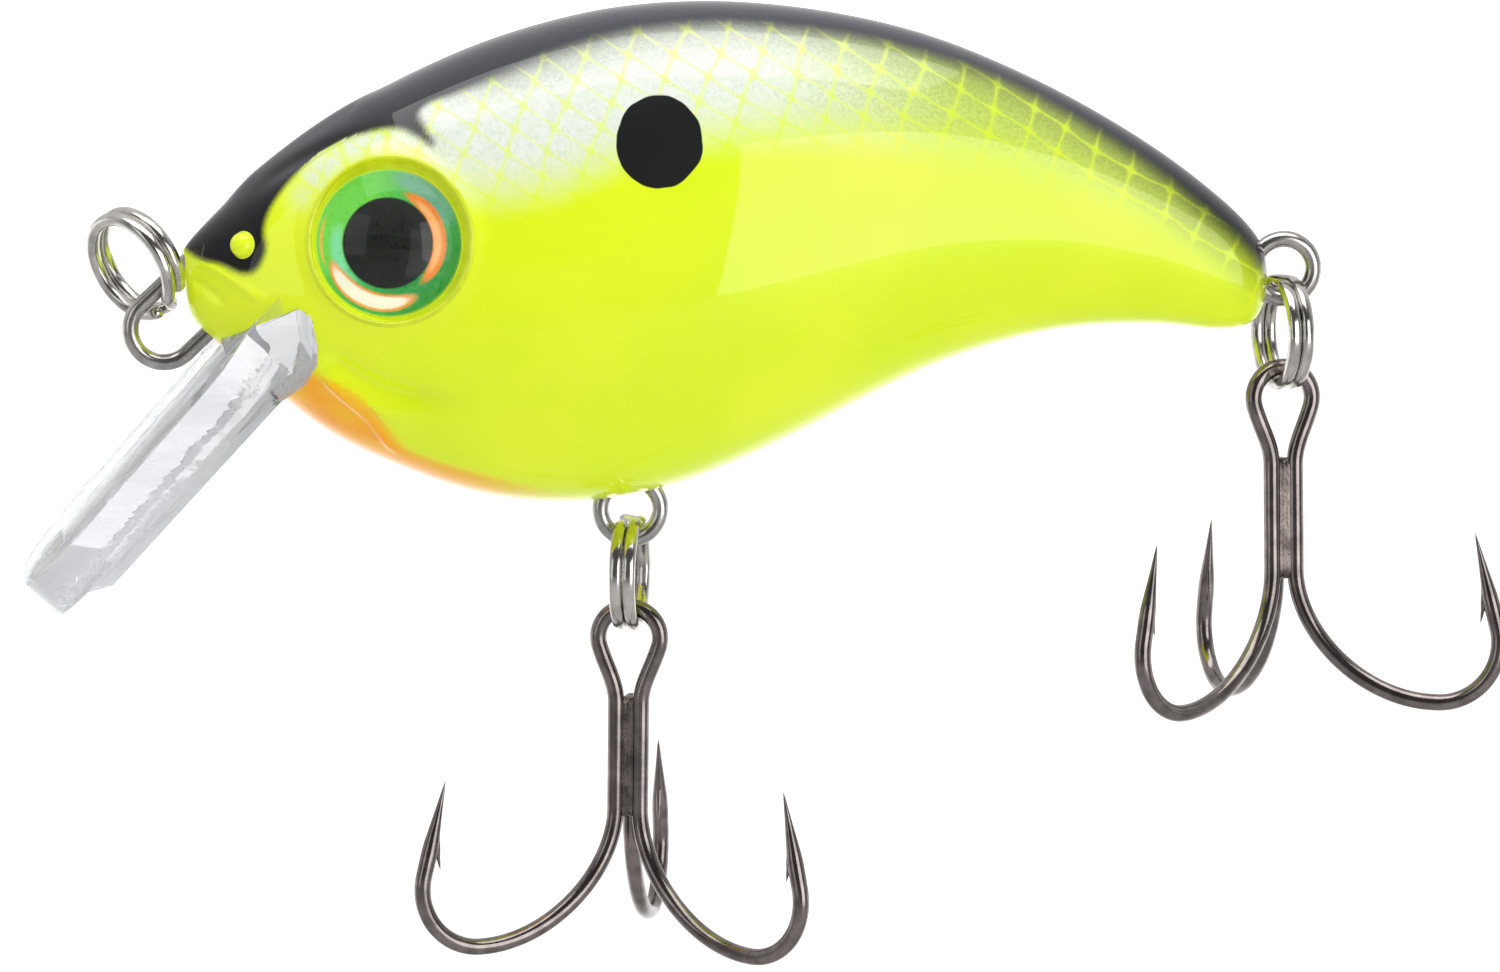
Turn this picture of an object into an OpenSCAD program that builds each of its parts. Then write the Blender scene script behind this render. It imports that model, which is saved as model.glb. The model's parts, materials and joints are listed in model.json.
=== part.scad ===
// Crankbait lure: hollow two-piece body, clear diving lip, wire hangers, split rings and treble hooks.
// Frame: origin at the centre of the line-tie eye, +X towards the tail, +Z up, the lure's left side at -Y.

/* [Body] */
// Length of the body from the nose to the tail
body_len = 60.2; // [57:0.1:63]
// Thickness of the moulded wall
wall = 1.2; // [1:0.1:1.4]
// Fullness of the cross-sections, where 2 is an ellipse and more is squarer
fullness = 2.15; // [2:0.05:2.4]

/* [Diving lip] */
// Slope of the lip below the horizontal
lip_angle = 49; // [46:1:50]
// Width of the lip's blade
lip_w = 16; // [14:0.5:18]
// Length of the lip's blade, from the chin to its free end
lip_len = 18.4; // [16:0.1:19]
// Thickness of the blade
lip_t = 2.5; // [2:0.1:2.6]
// Radius of the blade's corners
lip_corner = 4.5; // [2:0.1:6]

/* [Eyes] */
// Diameter of each eye socket
socket_d = 8.9; // [8.6:0.1:9.2]
// Diameter of the foil and the clear dome
eye_d = 8.1; // [7.6:0.1:8.4]
// Height of the dome above its rim
dome_h = 1.5; // [1.2:0.1:1.8]

/* [Hangers] */
// Diameter of the hanger wire
hanger_wire = 0.92; // [0.85:0.01:0.95]
// Inner radius of a hook hanger's eye
hanger_eye_r = 1.2; // [1.18:0.01:1.24]
// Inner radius of the line-tie eye
line_eye_r = 1.37; // [1.35:0.01:1.45]

/* [Split rings] */
// Outer diameter of each ring
ring_od = 6.5; // [6.3:0.1:6.6]
// Radial thickness of the ring wire
ring_radial = 0.7; // [0.65:0.01:0.7]
// Width of the ring wire along the ring's axis
ring_axial = 0.72; // [0.65:0.01:0.72]

/* [Treble hooks] */
// Diameter of the hook wire
hook_wire = 0.93; // [0.85:0.01:0.95]
// Inner radius of the hook's eye
hook_eye_r = 1.27; // [1.25:0.01:1.35]
// Turn of the belly ring and hook about the vertical, as they hang
belly_yaw = -13; // [-14:1:14]
// Turn of the tail ring and hook about the vertical, as they hang
tail_yaw = 13; // [-14:1:14]
// Swing of the tail hook on its ring, as it hangs
tail_swing = -4; // [-8:1:8]

/* [Ballast and rattles] */
// Diameter of the ballast slug
ballast_d = 4.4; // [3.6:0.1:4.6]
// Length of the ballast slug
ballast_len = 8; // [5:0.5:8]
// Diameter of the knocker ball
knocker_d = 4.6; // [4:0.1:4.8]
// Diameter of each small rattle ball
rattle_d = 3; // [2.6:0.1:3.2]

/* [Hidden] */

// --- Colours -------------------------------------------------------------
CHARTREUSE = [0.86, 0.96, 0.12];
CLEAR = [0.85, 0.9, 0.92, 0.5];
NICKEL = [0.74, 0.73, 0.71];
BLACK_NICKEL = [0.3, 0.28, 0.27];
FOIL = [0.2, 0.72, 0.35];
LEAD = [0.42, 0.43, 0.45];
STEEL = [0.68, 0.69, 0.7];

// --- Body outline, for a body 60.2 mm long: [distance from the nose, height] ---
OUTLINE_LEN = 60.2;
TOP = [
    [0, 4.3], [0.2, 4.65], [1.4, 6.0], [4.8, 9.3], [8.1, 11.7], [11.4, 13.6],
    [18, 16.45], [24.7, 18.0], [29, 18.25], [33, 18.0], [39.7, 16.8], [46.3, 14.3],
    [53, 10.65], [57, 7.75], [59.5, 5.3], [60.1, 4.1], [60.2, 2.9],
];
BOTTOM = [
    [0, 4.2], [0.1, 1.9], [0.6, 0.55], [2.1, -0.8], [5.6, -3.75], [8.1, -5.75],
    [11.4, -7.3], [14.7, -8.6], [18, -9.4], [21.4, -9.6], [26.4, -8.85], [33, -6.2],
    [39.7, -2.7], [43, -1.3], [46.3, -0.35], [50, 0.3], [54, 0.4], [57.5, 0],
    [59.2, 0.3], [59.9, 1.0], [60.2, 2.7],
];
// [distance from the nose, half width]
HALF_WIDTH = [
    [0, 0], [0.15, 0.6], [0.6, 1.25], [2.1, 2.3], [4.5, 3.85], [8, 5.5], [12, 6.75],
    [17, 7.75], [22, 8.2], [27, 8.15], [33, 7.45], [39, 6.3], [45, 4.95], [51, 3.8],
    [56, 3.0], [58.8, 2.3], [59.8, 1.4], [60.2, 0],
];
// Height of the widest point of a section, as a share of its height
WIDEST = 0.47;
// The nose stands this far behind the centre of the line-tie eye
nose_x = 1.05;
scale_k = body_len / OUTLINE_LEN;

// Slope of a monotone curve at a point between two chords of widths h0 and h1 and slopes d0 and d1
function knot_slope(h0, d0, h1, d1) =
    d0 * d1 <= 0 ? 0 : 3 * (h0 + h1) / ((2 * h1 + h0) / d0 + (h1 + 2 * h0) / d1);
function chord(p, i) = (p[i + 1][1] - p[i][1]) / (p[i + 1][0] - p[i][0]);
function gap(p, i) = p[i + 1][0] - p[i][0];
function slope_at(p, i) =
    i == 0 ? chord(p, 0)
    : i == len(p) - 1 ? chord(p, i - 1)
    : knot_slope(gap(p, i - 1), chord(p, i - 1), gap(p, i), chord(p, i));
function segment(p, x, i = 0) = i >= len(p) - 2 || x < p[i + 1][0] ? i : segment(p, x, i + 1);
// Smooth curve through the points p, at x
function curve(p, x) =
    let(i = segment(p, x), h = gap(p, i), t = (x - p[i][0]) / h)
    (1 + 2 * t) * (1 - t) ^ 2 * p[i][1] + t * (1 - t) ^ 2 * h * slope_at(p, i)
    + t ^ 2 * (3 - 2 * t) * p[i + 1][1] - t ^ 2 * (1 - t) * h * slope_at(p, i + 1);

// Outline at x, in the part's own frame
function top_z(x) = scale_k * curve(TOP, (x - nose_x) / scale_k);
function bottom_z(x) = scale_k * curve(BOTTOM, (x - nose_x) / scale_k);
function half_w(x) = scale_k * curve(HALF_WIDTH, (x - nose_x) / scale_k);

// Point of the left half's section at x, at an angle from -90 (keel) to 90 (back), inset from the skin
function section_point(x, a, inset) =
    let(w = half_w(x) - inset, zt = top_z(x) - inset, zb = bottom_z(x) + inset,
        zm = zb + WIDEST * (zt - zb), h = a > 0 ? zt - zm : zm - zb, e = 2 / fullness)
    [x, -w * pow(cos(a), e), zm + sign(a) * h * pow(abs(sin(a)), e)];
function section(x, inset, steps) = [for (j = [0:steps]) section_point(x, -90 + 180 * j / steps, inset)];

// Station positions, closer together at both ends
STATIONS = 44;
STEPS = 16;
END_CROWDING = 0.94;
function spread(u) = u - END_CROWDING * sin(360 * u) / (2 * PI);
function station_x(i, x0, x1) = x0 + (x1 - x0) * spread(i / STATIONS);

// The hollow starts and ends this far inside the body's ends
cavity_x0 = nose_x + 3.4;
cavity_x1 = nose_x + body_len - 3.2;
function mid_z(x) = (top_z(x) + bottom_z(x)) / 2;

// One half of the body: outer skin, inner skin and the flat rim at the parting plane
module hollow_half() {
    x0 = nose_x;
    x1 = nose_x + body_len;
    row = STEPS + 1;
    rows = STATIONS - 1;
    outer = [for (i = [1:rows]) each section(station_x(i, x0, x1), 0, STEPS)];
    inner = [for (i = [1:rows]) each section(station_x(i, cavity_x0, cavity_x1), wall, STEPS)];
    poles = [
        [x0, 0, mid_z(x0)], [x1, 0, mid_z(x1)],
        [cavity_x0, 0, mid_z(cavity_x0)], [cavity_x1, 0, mid_z(cavity_x1)],
    ];
    half = rows * row;
    first = 2 * half;
    last_row = (rows - 1) * row;
    quads = concat(
        [for (i = [0:rows - 2], j = [0:STEPS - 1])
            let(a = i * row + j) [a, a + 1, a + row + 1, a + row]],
        [for (i = [0:rows - 2], j = [0:STEPS - 1])
            let(a = half + i * row + j) [a, a + row, a + row + 1, a + 1]],
        [for (i = [0:rows - 2])
            let(a = i * row, b = half + i * row) [a, a + row, b + row, b]],
        [for (i = [0:rows - 2])
            let(a = i * row + STEPS, b = half + i * row + STEPS) [b, b + row, a + row, a]],
        [
            [first, 0, half, first + 2],
            [first + 2, half + STEPS, STEPS, first],
            [last_row, first + 1, first + 3, half + last_row],
            [half + last_row + STEPS, first + 3, first + 1, last_row + STEPS],
        ]
    );
    fans = concat(
        [for (j = [0:STEPS - 1]) [first, j + 1, j]],
        [for (j = [0:STEPS - 1]) [last_row + j, last_row + j + 1, first + 1]],
        [for (j = [0:STEPS - 1]) [first + 2, half + j, half + j + 1]],
        [for (j = [0:STEPS - 1]) [half + last_row + j + 1, half + last_row + j, first + 3]]
    );
    triangles = concat([for (q = quads) each [[q[0], q[1], q[2]], [q[0], q[2], q[3]]]], fans);
    polyhedron(points = concat(outer, inner, poles), faces = triangles);
}

// Cross wall of the left half at x, between two heights, let into the wall
module bulkhead(x, thick, z0, z1, inset = 0.6) {
    edge = [for (p = section(x, inset, STEPS)) [p[2], -p[1]]];
    translate([x - thick / 2, 0, 0])
        rotate([90, 0, 90])
            linear_extrude(height = thick)
                intersection() {
                    polygon([for (p = edge) [-p[1], p[0]]]);
                    translate([-20, z0])
                        square([20, z1 - z0]);
                }
}

// --- Hangers ---------------------------------------------------------------
wire_r = hanger_wire / 2;
belly_hanger_x = nose_x + 24.8 * scale_k;
// Distance of each hook hanger's eye centre outside the body
BELLY_EYE_OUT = 0.85;
TAIL_EYE_OUT = 0.92;
belly_hanger = [belly_hanger_x, 0, bottom_z(belly_hanger_x) - BELLY_EYE_OUT];
tail_hanger = [nose_x + body_len + TAIL_EYE_OUT, 0, 3.4 * scale_k];
line_tie = [0, 0, 0];
// Direction of each hanger's stem or legs, as an angle in the XZ plane
LINE_LEG_ANGLE = 44;
BELLY_STEM_ANGLE = 90;
TAIL_STEM_ANGLE = 178;
// Length of the line tie's legs
LINE_LEG = 5;
// Distance from an outer eye to the anchor eye inside the body
BELLY_STEM = 5.6;
TAIL_STEM = 7;
ANCHOR_R = 1.1;
// Room left around wires, lip and ballast in the moulded body
FIT_GAP = 0.03;

// Wire eye lying in the XZ plane, with mean radius r
module wire_eye(r, extra = 0) {
    rotate([90, 0, 0])
        rotate_extrude($fn = 64)
            translate([r, 0])
                circle(r = wire_r + extra, $fn = 32);
}

// Figure-eight wire: an outer eye, two stem wires side by side and an anchor eye
module hanger(inner_r, stem, angle, extra = 0) {
    mean_r = inner_r + wire_r;
    wire_eye(mean_r, extra);
    rotate([0, -angle, 0]) {
        for (side = [-1, 1])
            translate([mean_r, 0, side * (wire_r + 0.02)])
                rotate([0, 90, 0])
                    cylinder(r = wire_r - 0.02 + extra, h = stem - ANCHOR_R - mean_r, $fn = 32);
        translate([stem, 0, 0])
            wire_eye(ANCHOR_R, extra);
    }
}

// Oblong loop of wire: its outer end is the line-tie eye, and its inner end is moulded into the head
module line_tie_shape(extra = 0) {
    mean_r = line_eye_r + wire_r;
    translate(line_tie)
        rotate([0, -LINE_LEG_ANGLE, 0]) {
            for (end = [0, 1])
                translate([end * LINE_LEG, 0, 0])
                    rotate([90, 0, 0])
                        rotate_extrude(angle = 180, start = 90 - 180 * end, $fn = 64)
                            translate([mean_r, 0])
                                circle(r = wire_r + extra, $fn = 32);
            for (side = [-1, 1])
                translate([0, 0, side * mean_r])
                    rotate([0, 90, 0])
                        cylinder(r = wire_r + extra, h = LINE_LEG, $fn = 32);
        }
}
module belly_hanger_shape(extra = 0) {
    translate(belly_hanger)
        hanger(hanger_eye_r, BELLY_STEM, BELLY_STEM_ANGLE, extra);
}
module tail_hanger_shape(extra = 0) {
    translate(tail_hanger)
        hanger(hanger_eye_r, TAIL_STEM, TAIL_STEM_ANGLE, extra);
}

module line_tie_wire() {
    color(NICKEL) line_tie_shape();
}
module belly_hook_hanger() {
    color(NICKEL) belly_hanger_shape();
}
module tail_hook_hanger() {
    color(NICKEL) tail_hanger_shape();
}

// --- Diving lip ------------------------------------------------------------
// A point on the rear face of the blade, where it leaves the throat
lip_root = [6.3, -1.4];
// The blade starts this far up inside the head
LIP_TONGUE = 3;
// Width of the strengthening rib behind the blade
LIP_RIB_W = 9;
// Side outline of the thick root that fills the slot across the head: [x, z]
ROOT_SIDE = [
    [3.1, -0.4], [7.2, 1.7], [7.9, 1.3], [8.25, -0.2], [8.25, -1.4], [7.6, -2.5], [6.4, -3.4], [4, -3.2],
];
// Half width of the root at its front and at its back
ROOT_FRONT = [3, 3.6];
ROOT_BACK = [9, 5.5];

function arc(cx, cy, r, a0, a1, steps) =
    [for (i = [0:steps]) let(a = a0 + (a1 - a0) * i / steps) [cx + r * cos(a), cy + r * sin(a)]];

// Outline of the blade: x runs out from the throat, y across
module blade_outline() {
    half = lip_w / 2;
    r = lip_corner;
    polygon(concat(
        [[-LIP_TONGUE, -4.2], [0, -4.4]],
        arc(3.4, -half + 2, 2, -140, -90, 5),
        arc(lip_len - r, -half + r, r, -90, 0, 9),
        arc(lip_len - r, half - r, r, 0, 90, 9),
        arc(3.4, half - 2, 2, 90, 140, 5),
        [[0, 4.4], [-LIP_TONGUE, 4.2]]
    ));
}

module lip_root_block(extra = 0) {
    intersection() {
        rotate([90, 0, 0])
            translate([0, 0, -7])
                linear_extrude(height = 14)
                    offset(delta = extra)
                        polygon(ROOT_SIDE);
        translate([0, 0, -6])
            linear_extrude(height = 10)
                polygon([
                    [ROOT_FRONT[0] - 1, -ROOT_FRONT[1] - extra], [ROOT_BACK[0] + 1, -ROOT_BACK[1] - extra],
                    [ROOT_BACK[0] + 1, ROOT_BACK[1] + extra], [ROOT_FRONT[0] - 1, ROOT_FRONT[1] + extra],
                ]);
    }
}

// Strengthening rib along the middle of the rear face, thinner towards the free end
module lip_rib(extra = 0) {
    rotate([90, 0, 0])
        translate([0, 0, -LIP_RIB_W / 2 - extra])
            linear_extrude(height = LIP_RIB_W + 2 * extra)
                offset(delta = extra)
                    polygon([
                        [-1, 0], [0, -1.4], [lip_len - 3.2, -1.1],
                        [lip_len - 1.5, 0], [lip_len - 1.5, 0.4], [-1, 0.4],
                    ]);
}

// Blade, rib and root; extra is the room left round them in the head
module lip_shape(extra = 0) {
    translate([lip_root[0], 0, lip_root[1]])
        rotate([0, 180 - lip_angle, 0])
            mirror([0, 0, 1]) {
                translate([0, 0, -extra])
                    linear_extrude(height = lip_t + 2 * extra)
                        offset(delta = extra)
                            blade_outline();
                lip_rib(extra);
            }
    lip_root_block(extra);
}

module diving_lip() {
    color(CLEAR) lip_shape();
}

// --- Eyes ------------------------------------------------------------------
// Centre of the eye on the left cheek, and the directions that it faces
eye_x = nose_x + 11.3 * scale_k;
eye_z = 5.5 * scale_k;
EYE_FORWARD = 12;
EYE_UP = 5;
SOCKET_DEPTH = 1.35;
FOIL_T = 0.15;
DOME_BASE = 0.35;

// Puts a child on the left eye's axis, with +Z out of the head and 0 at the socket's floor
module at_eye() {
    translate([eye_x, -half_w(eye_x) + SOCKET_DEPTH, eye_z])
        rotate([90 - EYE_UP, 0, -EYE_FORWARD])
            children();
}
module eye_foil() {
    at_eye()
        translate([0, 0, 0.02])
            cylinder(d = eye_d, h = FOIL_T, $fn = 64);
}
// Clear dome: a spherical cap on a short cylinder
module eye_dome() {
    r = eye_d / 2;
    ball = (r * r + dome_h * dome_h) / (2 * dome_h);
    at_eye()
        translate([0, 0, 0.04 + FOIL_T])
            intersection() {
                cylinder(r = r, h = DOME_BASE + dome_h + 1, $fn = 64);
                translate([0, 0, DOME_BASE + dome_h - ball])
                    sphere(r = ball, $fn = 96);
            }
}
module left_eye_foil() {
    color(FOIL) eye_foil();
}
module left_eye_dome() {
    color(CLEAR) eye_dome();
}
module right_eye_foil() {
    color(FOIL) mirror([0, 1, 0]) eye_foil();
}
module right_eye_dome() {
    color(CLEAR) mirror([0, 1, 0]) eye_dome();
}

// --- Ballast and rattles -----------------------------------------------------
ballast_x0 = nose_x + 13.6;
ballast_z = -4.6;
// Cross walls that close the two rattle chambers
WALL_FRONT = 17.6;
WALL_MIDDLE = 31;
WALL_REAR = 44;
WALL_T = 1.2;
// Height of each chamber's centre line, and its inner and outer radius
rattle_z = 3;
rattle_bore = rattle_d / 2 + 0.2;
knocker_z = 7.5;
knocker_bore = knocker_d / 2 + 0.2;
CHAMBER_T = 0.8;

module belly_ballast() {
    color(LEAD)
        translate([ballast_x0, 0, ballast_z])
            rotate([0, 90, 0])
                cylinder(d = ballast_d, h = ballast_len, $fn = 48);
}
module knocker_ball() {
    color(STEEL)
        translate([(WALL_MIDDLE + WALL_REAR) / 2, 0, knocker_z])
            sphere(d = knocker_d, $fn = 48);
}
module rattle_balls() {
    color(STEEL)
        for (side = [-1, 1])
            translate([(WALL_FRONT + WALL_MIDDLE) / 2 + side * (rattle_d / 2 + 0.05), 0, rattle_z])
                sphere(d = rattle_d, $fn = 48);
}

// Tube along X between two cross walls
module chamber(x0, x1, z, bore) {
    translate([x0, 0, z])
        rotate([0, 90, 0])
            cylinder(r = bore + CHAMBER_T, h = x1 - x0, $fn = 48);
}
module chamber_bore(x0, x1, z, bore) {
    translate([x0 + WALL_T / 2, 0, z])
        rotate([0, 90, 0])
            cylinder(r = bore, h = x1 - x0 - WALL_T, $fn = 48);
}

// --- Body shells -------------------------------------------------------------
// Places of the alignment pins: [x, z]
PINS = [[21, 12.4], [47, 8], [29, -4.6]];
PIN_R = 0.8;
PIN_H = 1;
PIN_FIT = 0.05;
BOSS_R = 1.7;
nostril = [5.45, 4.7];
NOSTRIL_R = 0.66;

// Half width of the outer skin at a place on the side
function skin_y(x, z) =
    let(zt = top_z(x), zb = bottom_z(x), zm = zb + WIDEST * (zt - zb),
        h = z > zm ? zt - zm : zm - zb, t = min(1, abs(z - zm) / h))
    half_w(x) * pow(1 - pow(t, fullness), 1 / fullness);

// Length of the boss at p, ending inside the skin
function boss_len(p) = min(skin_y(p[0], p[1] - BOSS_R), skin_y(p[0], p[1] + BOSS_R)) - 0.5;
module bosses() {
    for (p = PINS)
        translate([p[0], 0, p[1]])
            rotate([90, 0, 0])
                cylinder(r = BOSS_R, h = boss_len(p), $fn = 32);
}

// Everything inside one half that is moulded with it
module inner_walls() {
    bulkhead(WALL_FRONT, WALL_T, -20, 20);
    bulkhead(WALL_MIDDLE, WALL_T, -20, 20);
    bulkhead(WALL_REAR, WALL_T, -20, 20);
    bulkhead(line_tie[0] + LINE_LEG * cos(LINE_LEG_ANGLE) + 1.6, 2.6, 2, 7.6, 1);
    bulkhead(belly_hanger_x, 3.6, -20, belly_hanger[2] + BELLY_STEM + 1.9, 0.7);
    bulkhead(tail_hanger[0] - TAIL_STEM, 3.2, 1, 6.6, 0.6);
    intersection() {
        union() {
            chamber(WALL_FRONT, WALL_MIDDLE, rattle_z, rattle_bore);
            chamber(WALL_MIDDLE, WALL_REAR, knocker_z, knocker_bore);
        }
        translate([0, -20, -20])
            cube([60, 20, 40]);
    }
    bosses();
    at_eye()
        translate([0, 0, -1.1])
            cylinder(d = socket_d + 1.4, h = 1.2, $fn = 64);
}

// Left half without its pins
module body_half() {
    difference() {
        union() {
            hollow_half();
            inner_walls();
            translate([nostril[0], -skin_y(nostril[0], nostril[1]) + 0.1, nostril[1]])
                sphere(r = NOSTRIL_R, $fn = 32);
        }
        at_eye()
            cylinder(d = socket_d, h = 6, $fn = 64);
        line_tie_shape(FIT_GAP);
        belly_hanger_shape(FIT_GAP);
        tail_hanger_shape(FIT_GAP);
        lip_shape(FIT_GAP);
        chamber_bore(WALL_FRONT, WALL_MIDDLE, rattle_z, rattle_bore);
        chamber_bore(WALL_MIDDLE, WALL_REAR, knocker_z, knocker_bore);
        translate([ballast_x0 - FIT_GAP, 0, ballast_z])
            rotate([0, 90, 0])
                cylinder(d = ballast_d + 2 * FIT_GAP, h = ballast_len + 2 * FIT_GAP, $fn = 48);
    }
}

module left_body_shell() {
    color(CHARTREUSE)
        union() {
            body_half();
            for (p = PINS)
                translate([p[0], PIN_H, p[1]])
                    rotate([90, 0, 0])
                        cylinder(r = PIN_R, h = PIN_H + 0.5, $fn = 32);
        }
}

module right_body_shell() {
    color(CHARTREUSE)
        mirror([0, 1, 0])
            difference() {
                body_half();
                for (p = PINS)
                    translate([p[0], 0.1, p[1]])
                        rotate([90, 0, 0])
                            cylinder(r = PIN_R + PIN_FIT, h = PIN_H + 0.3, $fn = 32);
            }
}

// --- Split rings -------------------------------------------------------------
ring_r = ring_od / 2 - ring_radial / 2;
ring_inner_r = ring_od / 2 - ring_radial;
// Each coil's centre stands this far to one side of the ring's middle
coil_side = ring_axial / 2 + 0.01;
// The wire crosses from one coil to the other over this angle
CROSSING = 26;
END_GAP = 4;
PROFILE_R = 0.41;

module coil_profile() {
    intersection() {
        circle(r = PROFILE_R, $fn = 48);
        square([ring_radial, ring_axial], center = true);
    }
}
module coil(side, from, angle) {
    rotate_extrude(angle = angle, start = from, $fn = 96)
        translate([ring_r, side * coil_side])
            coil_profile();
}

// Corners of the crossing wire's section, a little inside the coil's own profile
CROSS_SECTION = [
    [0.33, 0.18], [0.2, 0.32], [-0.2, 0.32], [-0.33, 0.18],
    [-0.33, -0.18], [-0.2, -0.32], [0.2, -0.32], [0.33, -0.18],
];
module crossing() {
    steps = 12;
    lead = 4;
    n = len(CROSS_SECTION);
    points = [for (i = [0:steps])
        let(u = i / steps, a = -lead + (CROSSING + 2 * lead) * u,
            v = min(1, max(0, a / CROSSING)), z = coil_side * (2 * v * v * (3 - 2 * v) - 1))
        each [for (c = CROSS_SECTION)
            [(ring_r + c[0]) * cos(a), (ring_r + c[0]) * sin(a), z + c[1]]]];
    sides = [for (i = [0:steps - 1], j = [0:n - 1])
        let(a = i * n + j, b = i * n + (j + 1) % n) each [[a, b, b + n], [a, b + n, a + n]]];
    polyhedron(points = points, faces = concat(
        sides, [[for (j = [n - 1:-1:0]) j], [for (j = [0:n - 1]) steps * n + j]]));
}

// Two turns of wire about the Z axis, with the crossing at angle 0
module split_ring() {
    coil(-1, CROSSING + END_GAP, 360 - CROSSING - END_GAP);
    coil(1, CROSSING, 360 - CROSSING - END_GAP);
    crossing();
}

// How far a ring's inner face hangs below the middle of a hanger's eye, and the same for a hook's eye
CONTACT_HALF = 0.58;
HANG_ROOM = 0.03;
hanger_drop = sqrt(hanger_eye_r ^ 2 - CONTACT_HALF ^ 2) - HANG_ROOM;
hook_drop = sqrt(hook_eye_r ^ 2 - CONTACT_HALF ^ 2) - HANG_ROOM;
belly_ring = belly_hanger - [0, 0, hanger_drop + ring_inner_r];
tail_ring = tail_hanger - [0, 0, hanger_drop + ring_inner_r];

// Turn of a hanging ring on its axis that puts its crossing at the top, inside the hanger's eye
CROSSING_TOP = 180 - CROSSING / 2;
// Ring hanging from a hanger's eye, its axis along X before the turn about the vertical
module hanging_ring(centre, yaw, crossing_at) {
    translate(centre)
        rotate([0, 0, yaw])
            rotate([0, 90, 0])
                rotate([0, 0, crossing_at])
                    split_ring();
}
module belly_split_ring() {
    color(NICKEL) hanging_ring(belly_ring, belly_yaw, CROSSING_TOP);
}
module tail_split_ring() {
    color(NICKEL) hanging_ring(tail_ring, tail_yaw, CROSSING_TOP);
}

// The nose ring stands up in front of the nose, turned a little to the left side
NOSE_RING_CENTRE = [-1.54, 0.5, 3.56];
NOSE_RING_YAW = -49.8;
NOSE_RING_TILT = 21.3;
module nose_split_ring() {
    color(NICKEL)
        translate(NOSE_RING_CENTRE)
            rotate([0, 0, NOSE_RING_YAW])
                rotate([90 + NOSE_RING_TILT, 0, 0])
                    rotate([0, 0, 300])
                        split_ring();
}

// --- Treble hooks --------------------------------------------------------------
hook_r = hook_wire / 2;
HOOK_SIDES = 10;
// Each shank wire stands this far from the treble's axis
SHANK_R = 0.8;
eye_mean_r = hook_eye_r + hook_r;
// Heights below the centre of the eye
NECK_Z = -3.7;
FLARE_Z = -9.6;
BEND_Z = -17;
// Radii from the treble's axis
BEND_X = 8.8;
BEND_R = 3.4;
POINT_LEAN = 13;
POINT_LEN = 5.44;
BARB_H = 0.34;
BARB_BACK = 0.85;

function bezier(p, t) =
    (1 - t) ^ 3 * p[0] + 3 * t * (1 - t) ^ 2 * p[1] + 3 * t ^ 2 * (1 - t) * p[2] + t ^ 3 * p[3];
FLARE = [[SHANK_R, FLARE_Z], [SHANK_R, FLARE_Z - 3.6], [4.6, BEND_Z], [BEND_X, BEND_Z]];
bend_end = [BEND_X + BEND_R * cos(POINT_LEAN), BEND_Z + BEND_R + BEND_R * sin(POINT_LEAN)];
function point_at(s) = bend_end + s * [-sin(POINT_LEAN), cos(POINT_LEAN)];

// Centre line of one hook from its shank down and round to its point: [radius, height, wire radius, barb]
hook_line = concat(
    [for (i = [0:8]) let(p = bezier(FLARE, i / 8)) [p[0], p[1], hook_r, 0]],
    [for (i = [1:9])
        let(a = -90 + (90 + POINT_LEAN) * i / 9)
        [BEND_X + BEND_R * cos(a), BEND_Z + BEND_R + BEND_R * sin(a), hook_r, 0]],
    [for (q = [[1.3, hook_r, 0], [1.36, hook_r, 1], [2.2, 0.4, 0], [3.84, 0.2, 0], [POINT_LEN, 0.03, 0]])
        let(p = point_at(q[0])) [p[0], p[1], q[1], q[2]]]
);

// Places a hook's centre line in the vertical plane that faces the direction a
function hook_rings(a) =
    [for (q = hook_line) [[q[0] * cos(a), q[0] * sin(a), q[1]], [sin(a), -cos(a), 0], q[2], q[3]]];

// Half of the eye, in the plane of the two shank wires, from its top to the straight shank
EYE_END = 198;
shank_y = -SHANK_R / 2;
shank_x = SHANK_R * cos(30);
eye_end = eye_mean_r * [cos(EYE_END), sin(EYE_END)];
NECK = [
    eye_end, eye_end + 1.4 * [-sin(EYE_END), cos(EYE_END)],
    [-shank_x, NECK_Z + 1.1], [-shank_x, NECK_Z],
];
eye_half = concat(
    [for (i = [1:10])
        let(a = 90 + (EYE_END - 90) * i / 10) eye_mean_r * [cos(a), sin(a)]],
    [for (i = [1:5]) bezier(NECK, i / 5)]
);
function eye_rings(side) =
    [for (q = eye_half) [[side * -q[0], shank_y, q[1]], [0, 1, 0], hook_r, 0]];
function reversed(list) = [for (i = [len(list) - 1:-1:0]) list[i]];
function flipped(list) = [for (q = list) [q[0], -q[1], q[2], q[3]]];

function unit(v) = v / norm(v);
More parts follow.
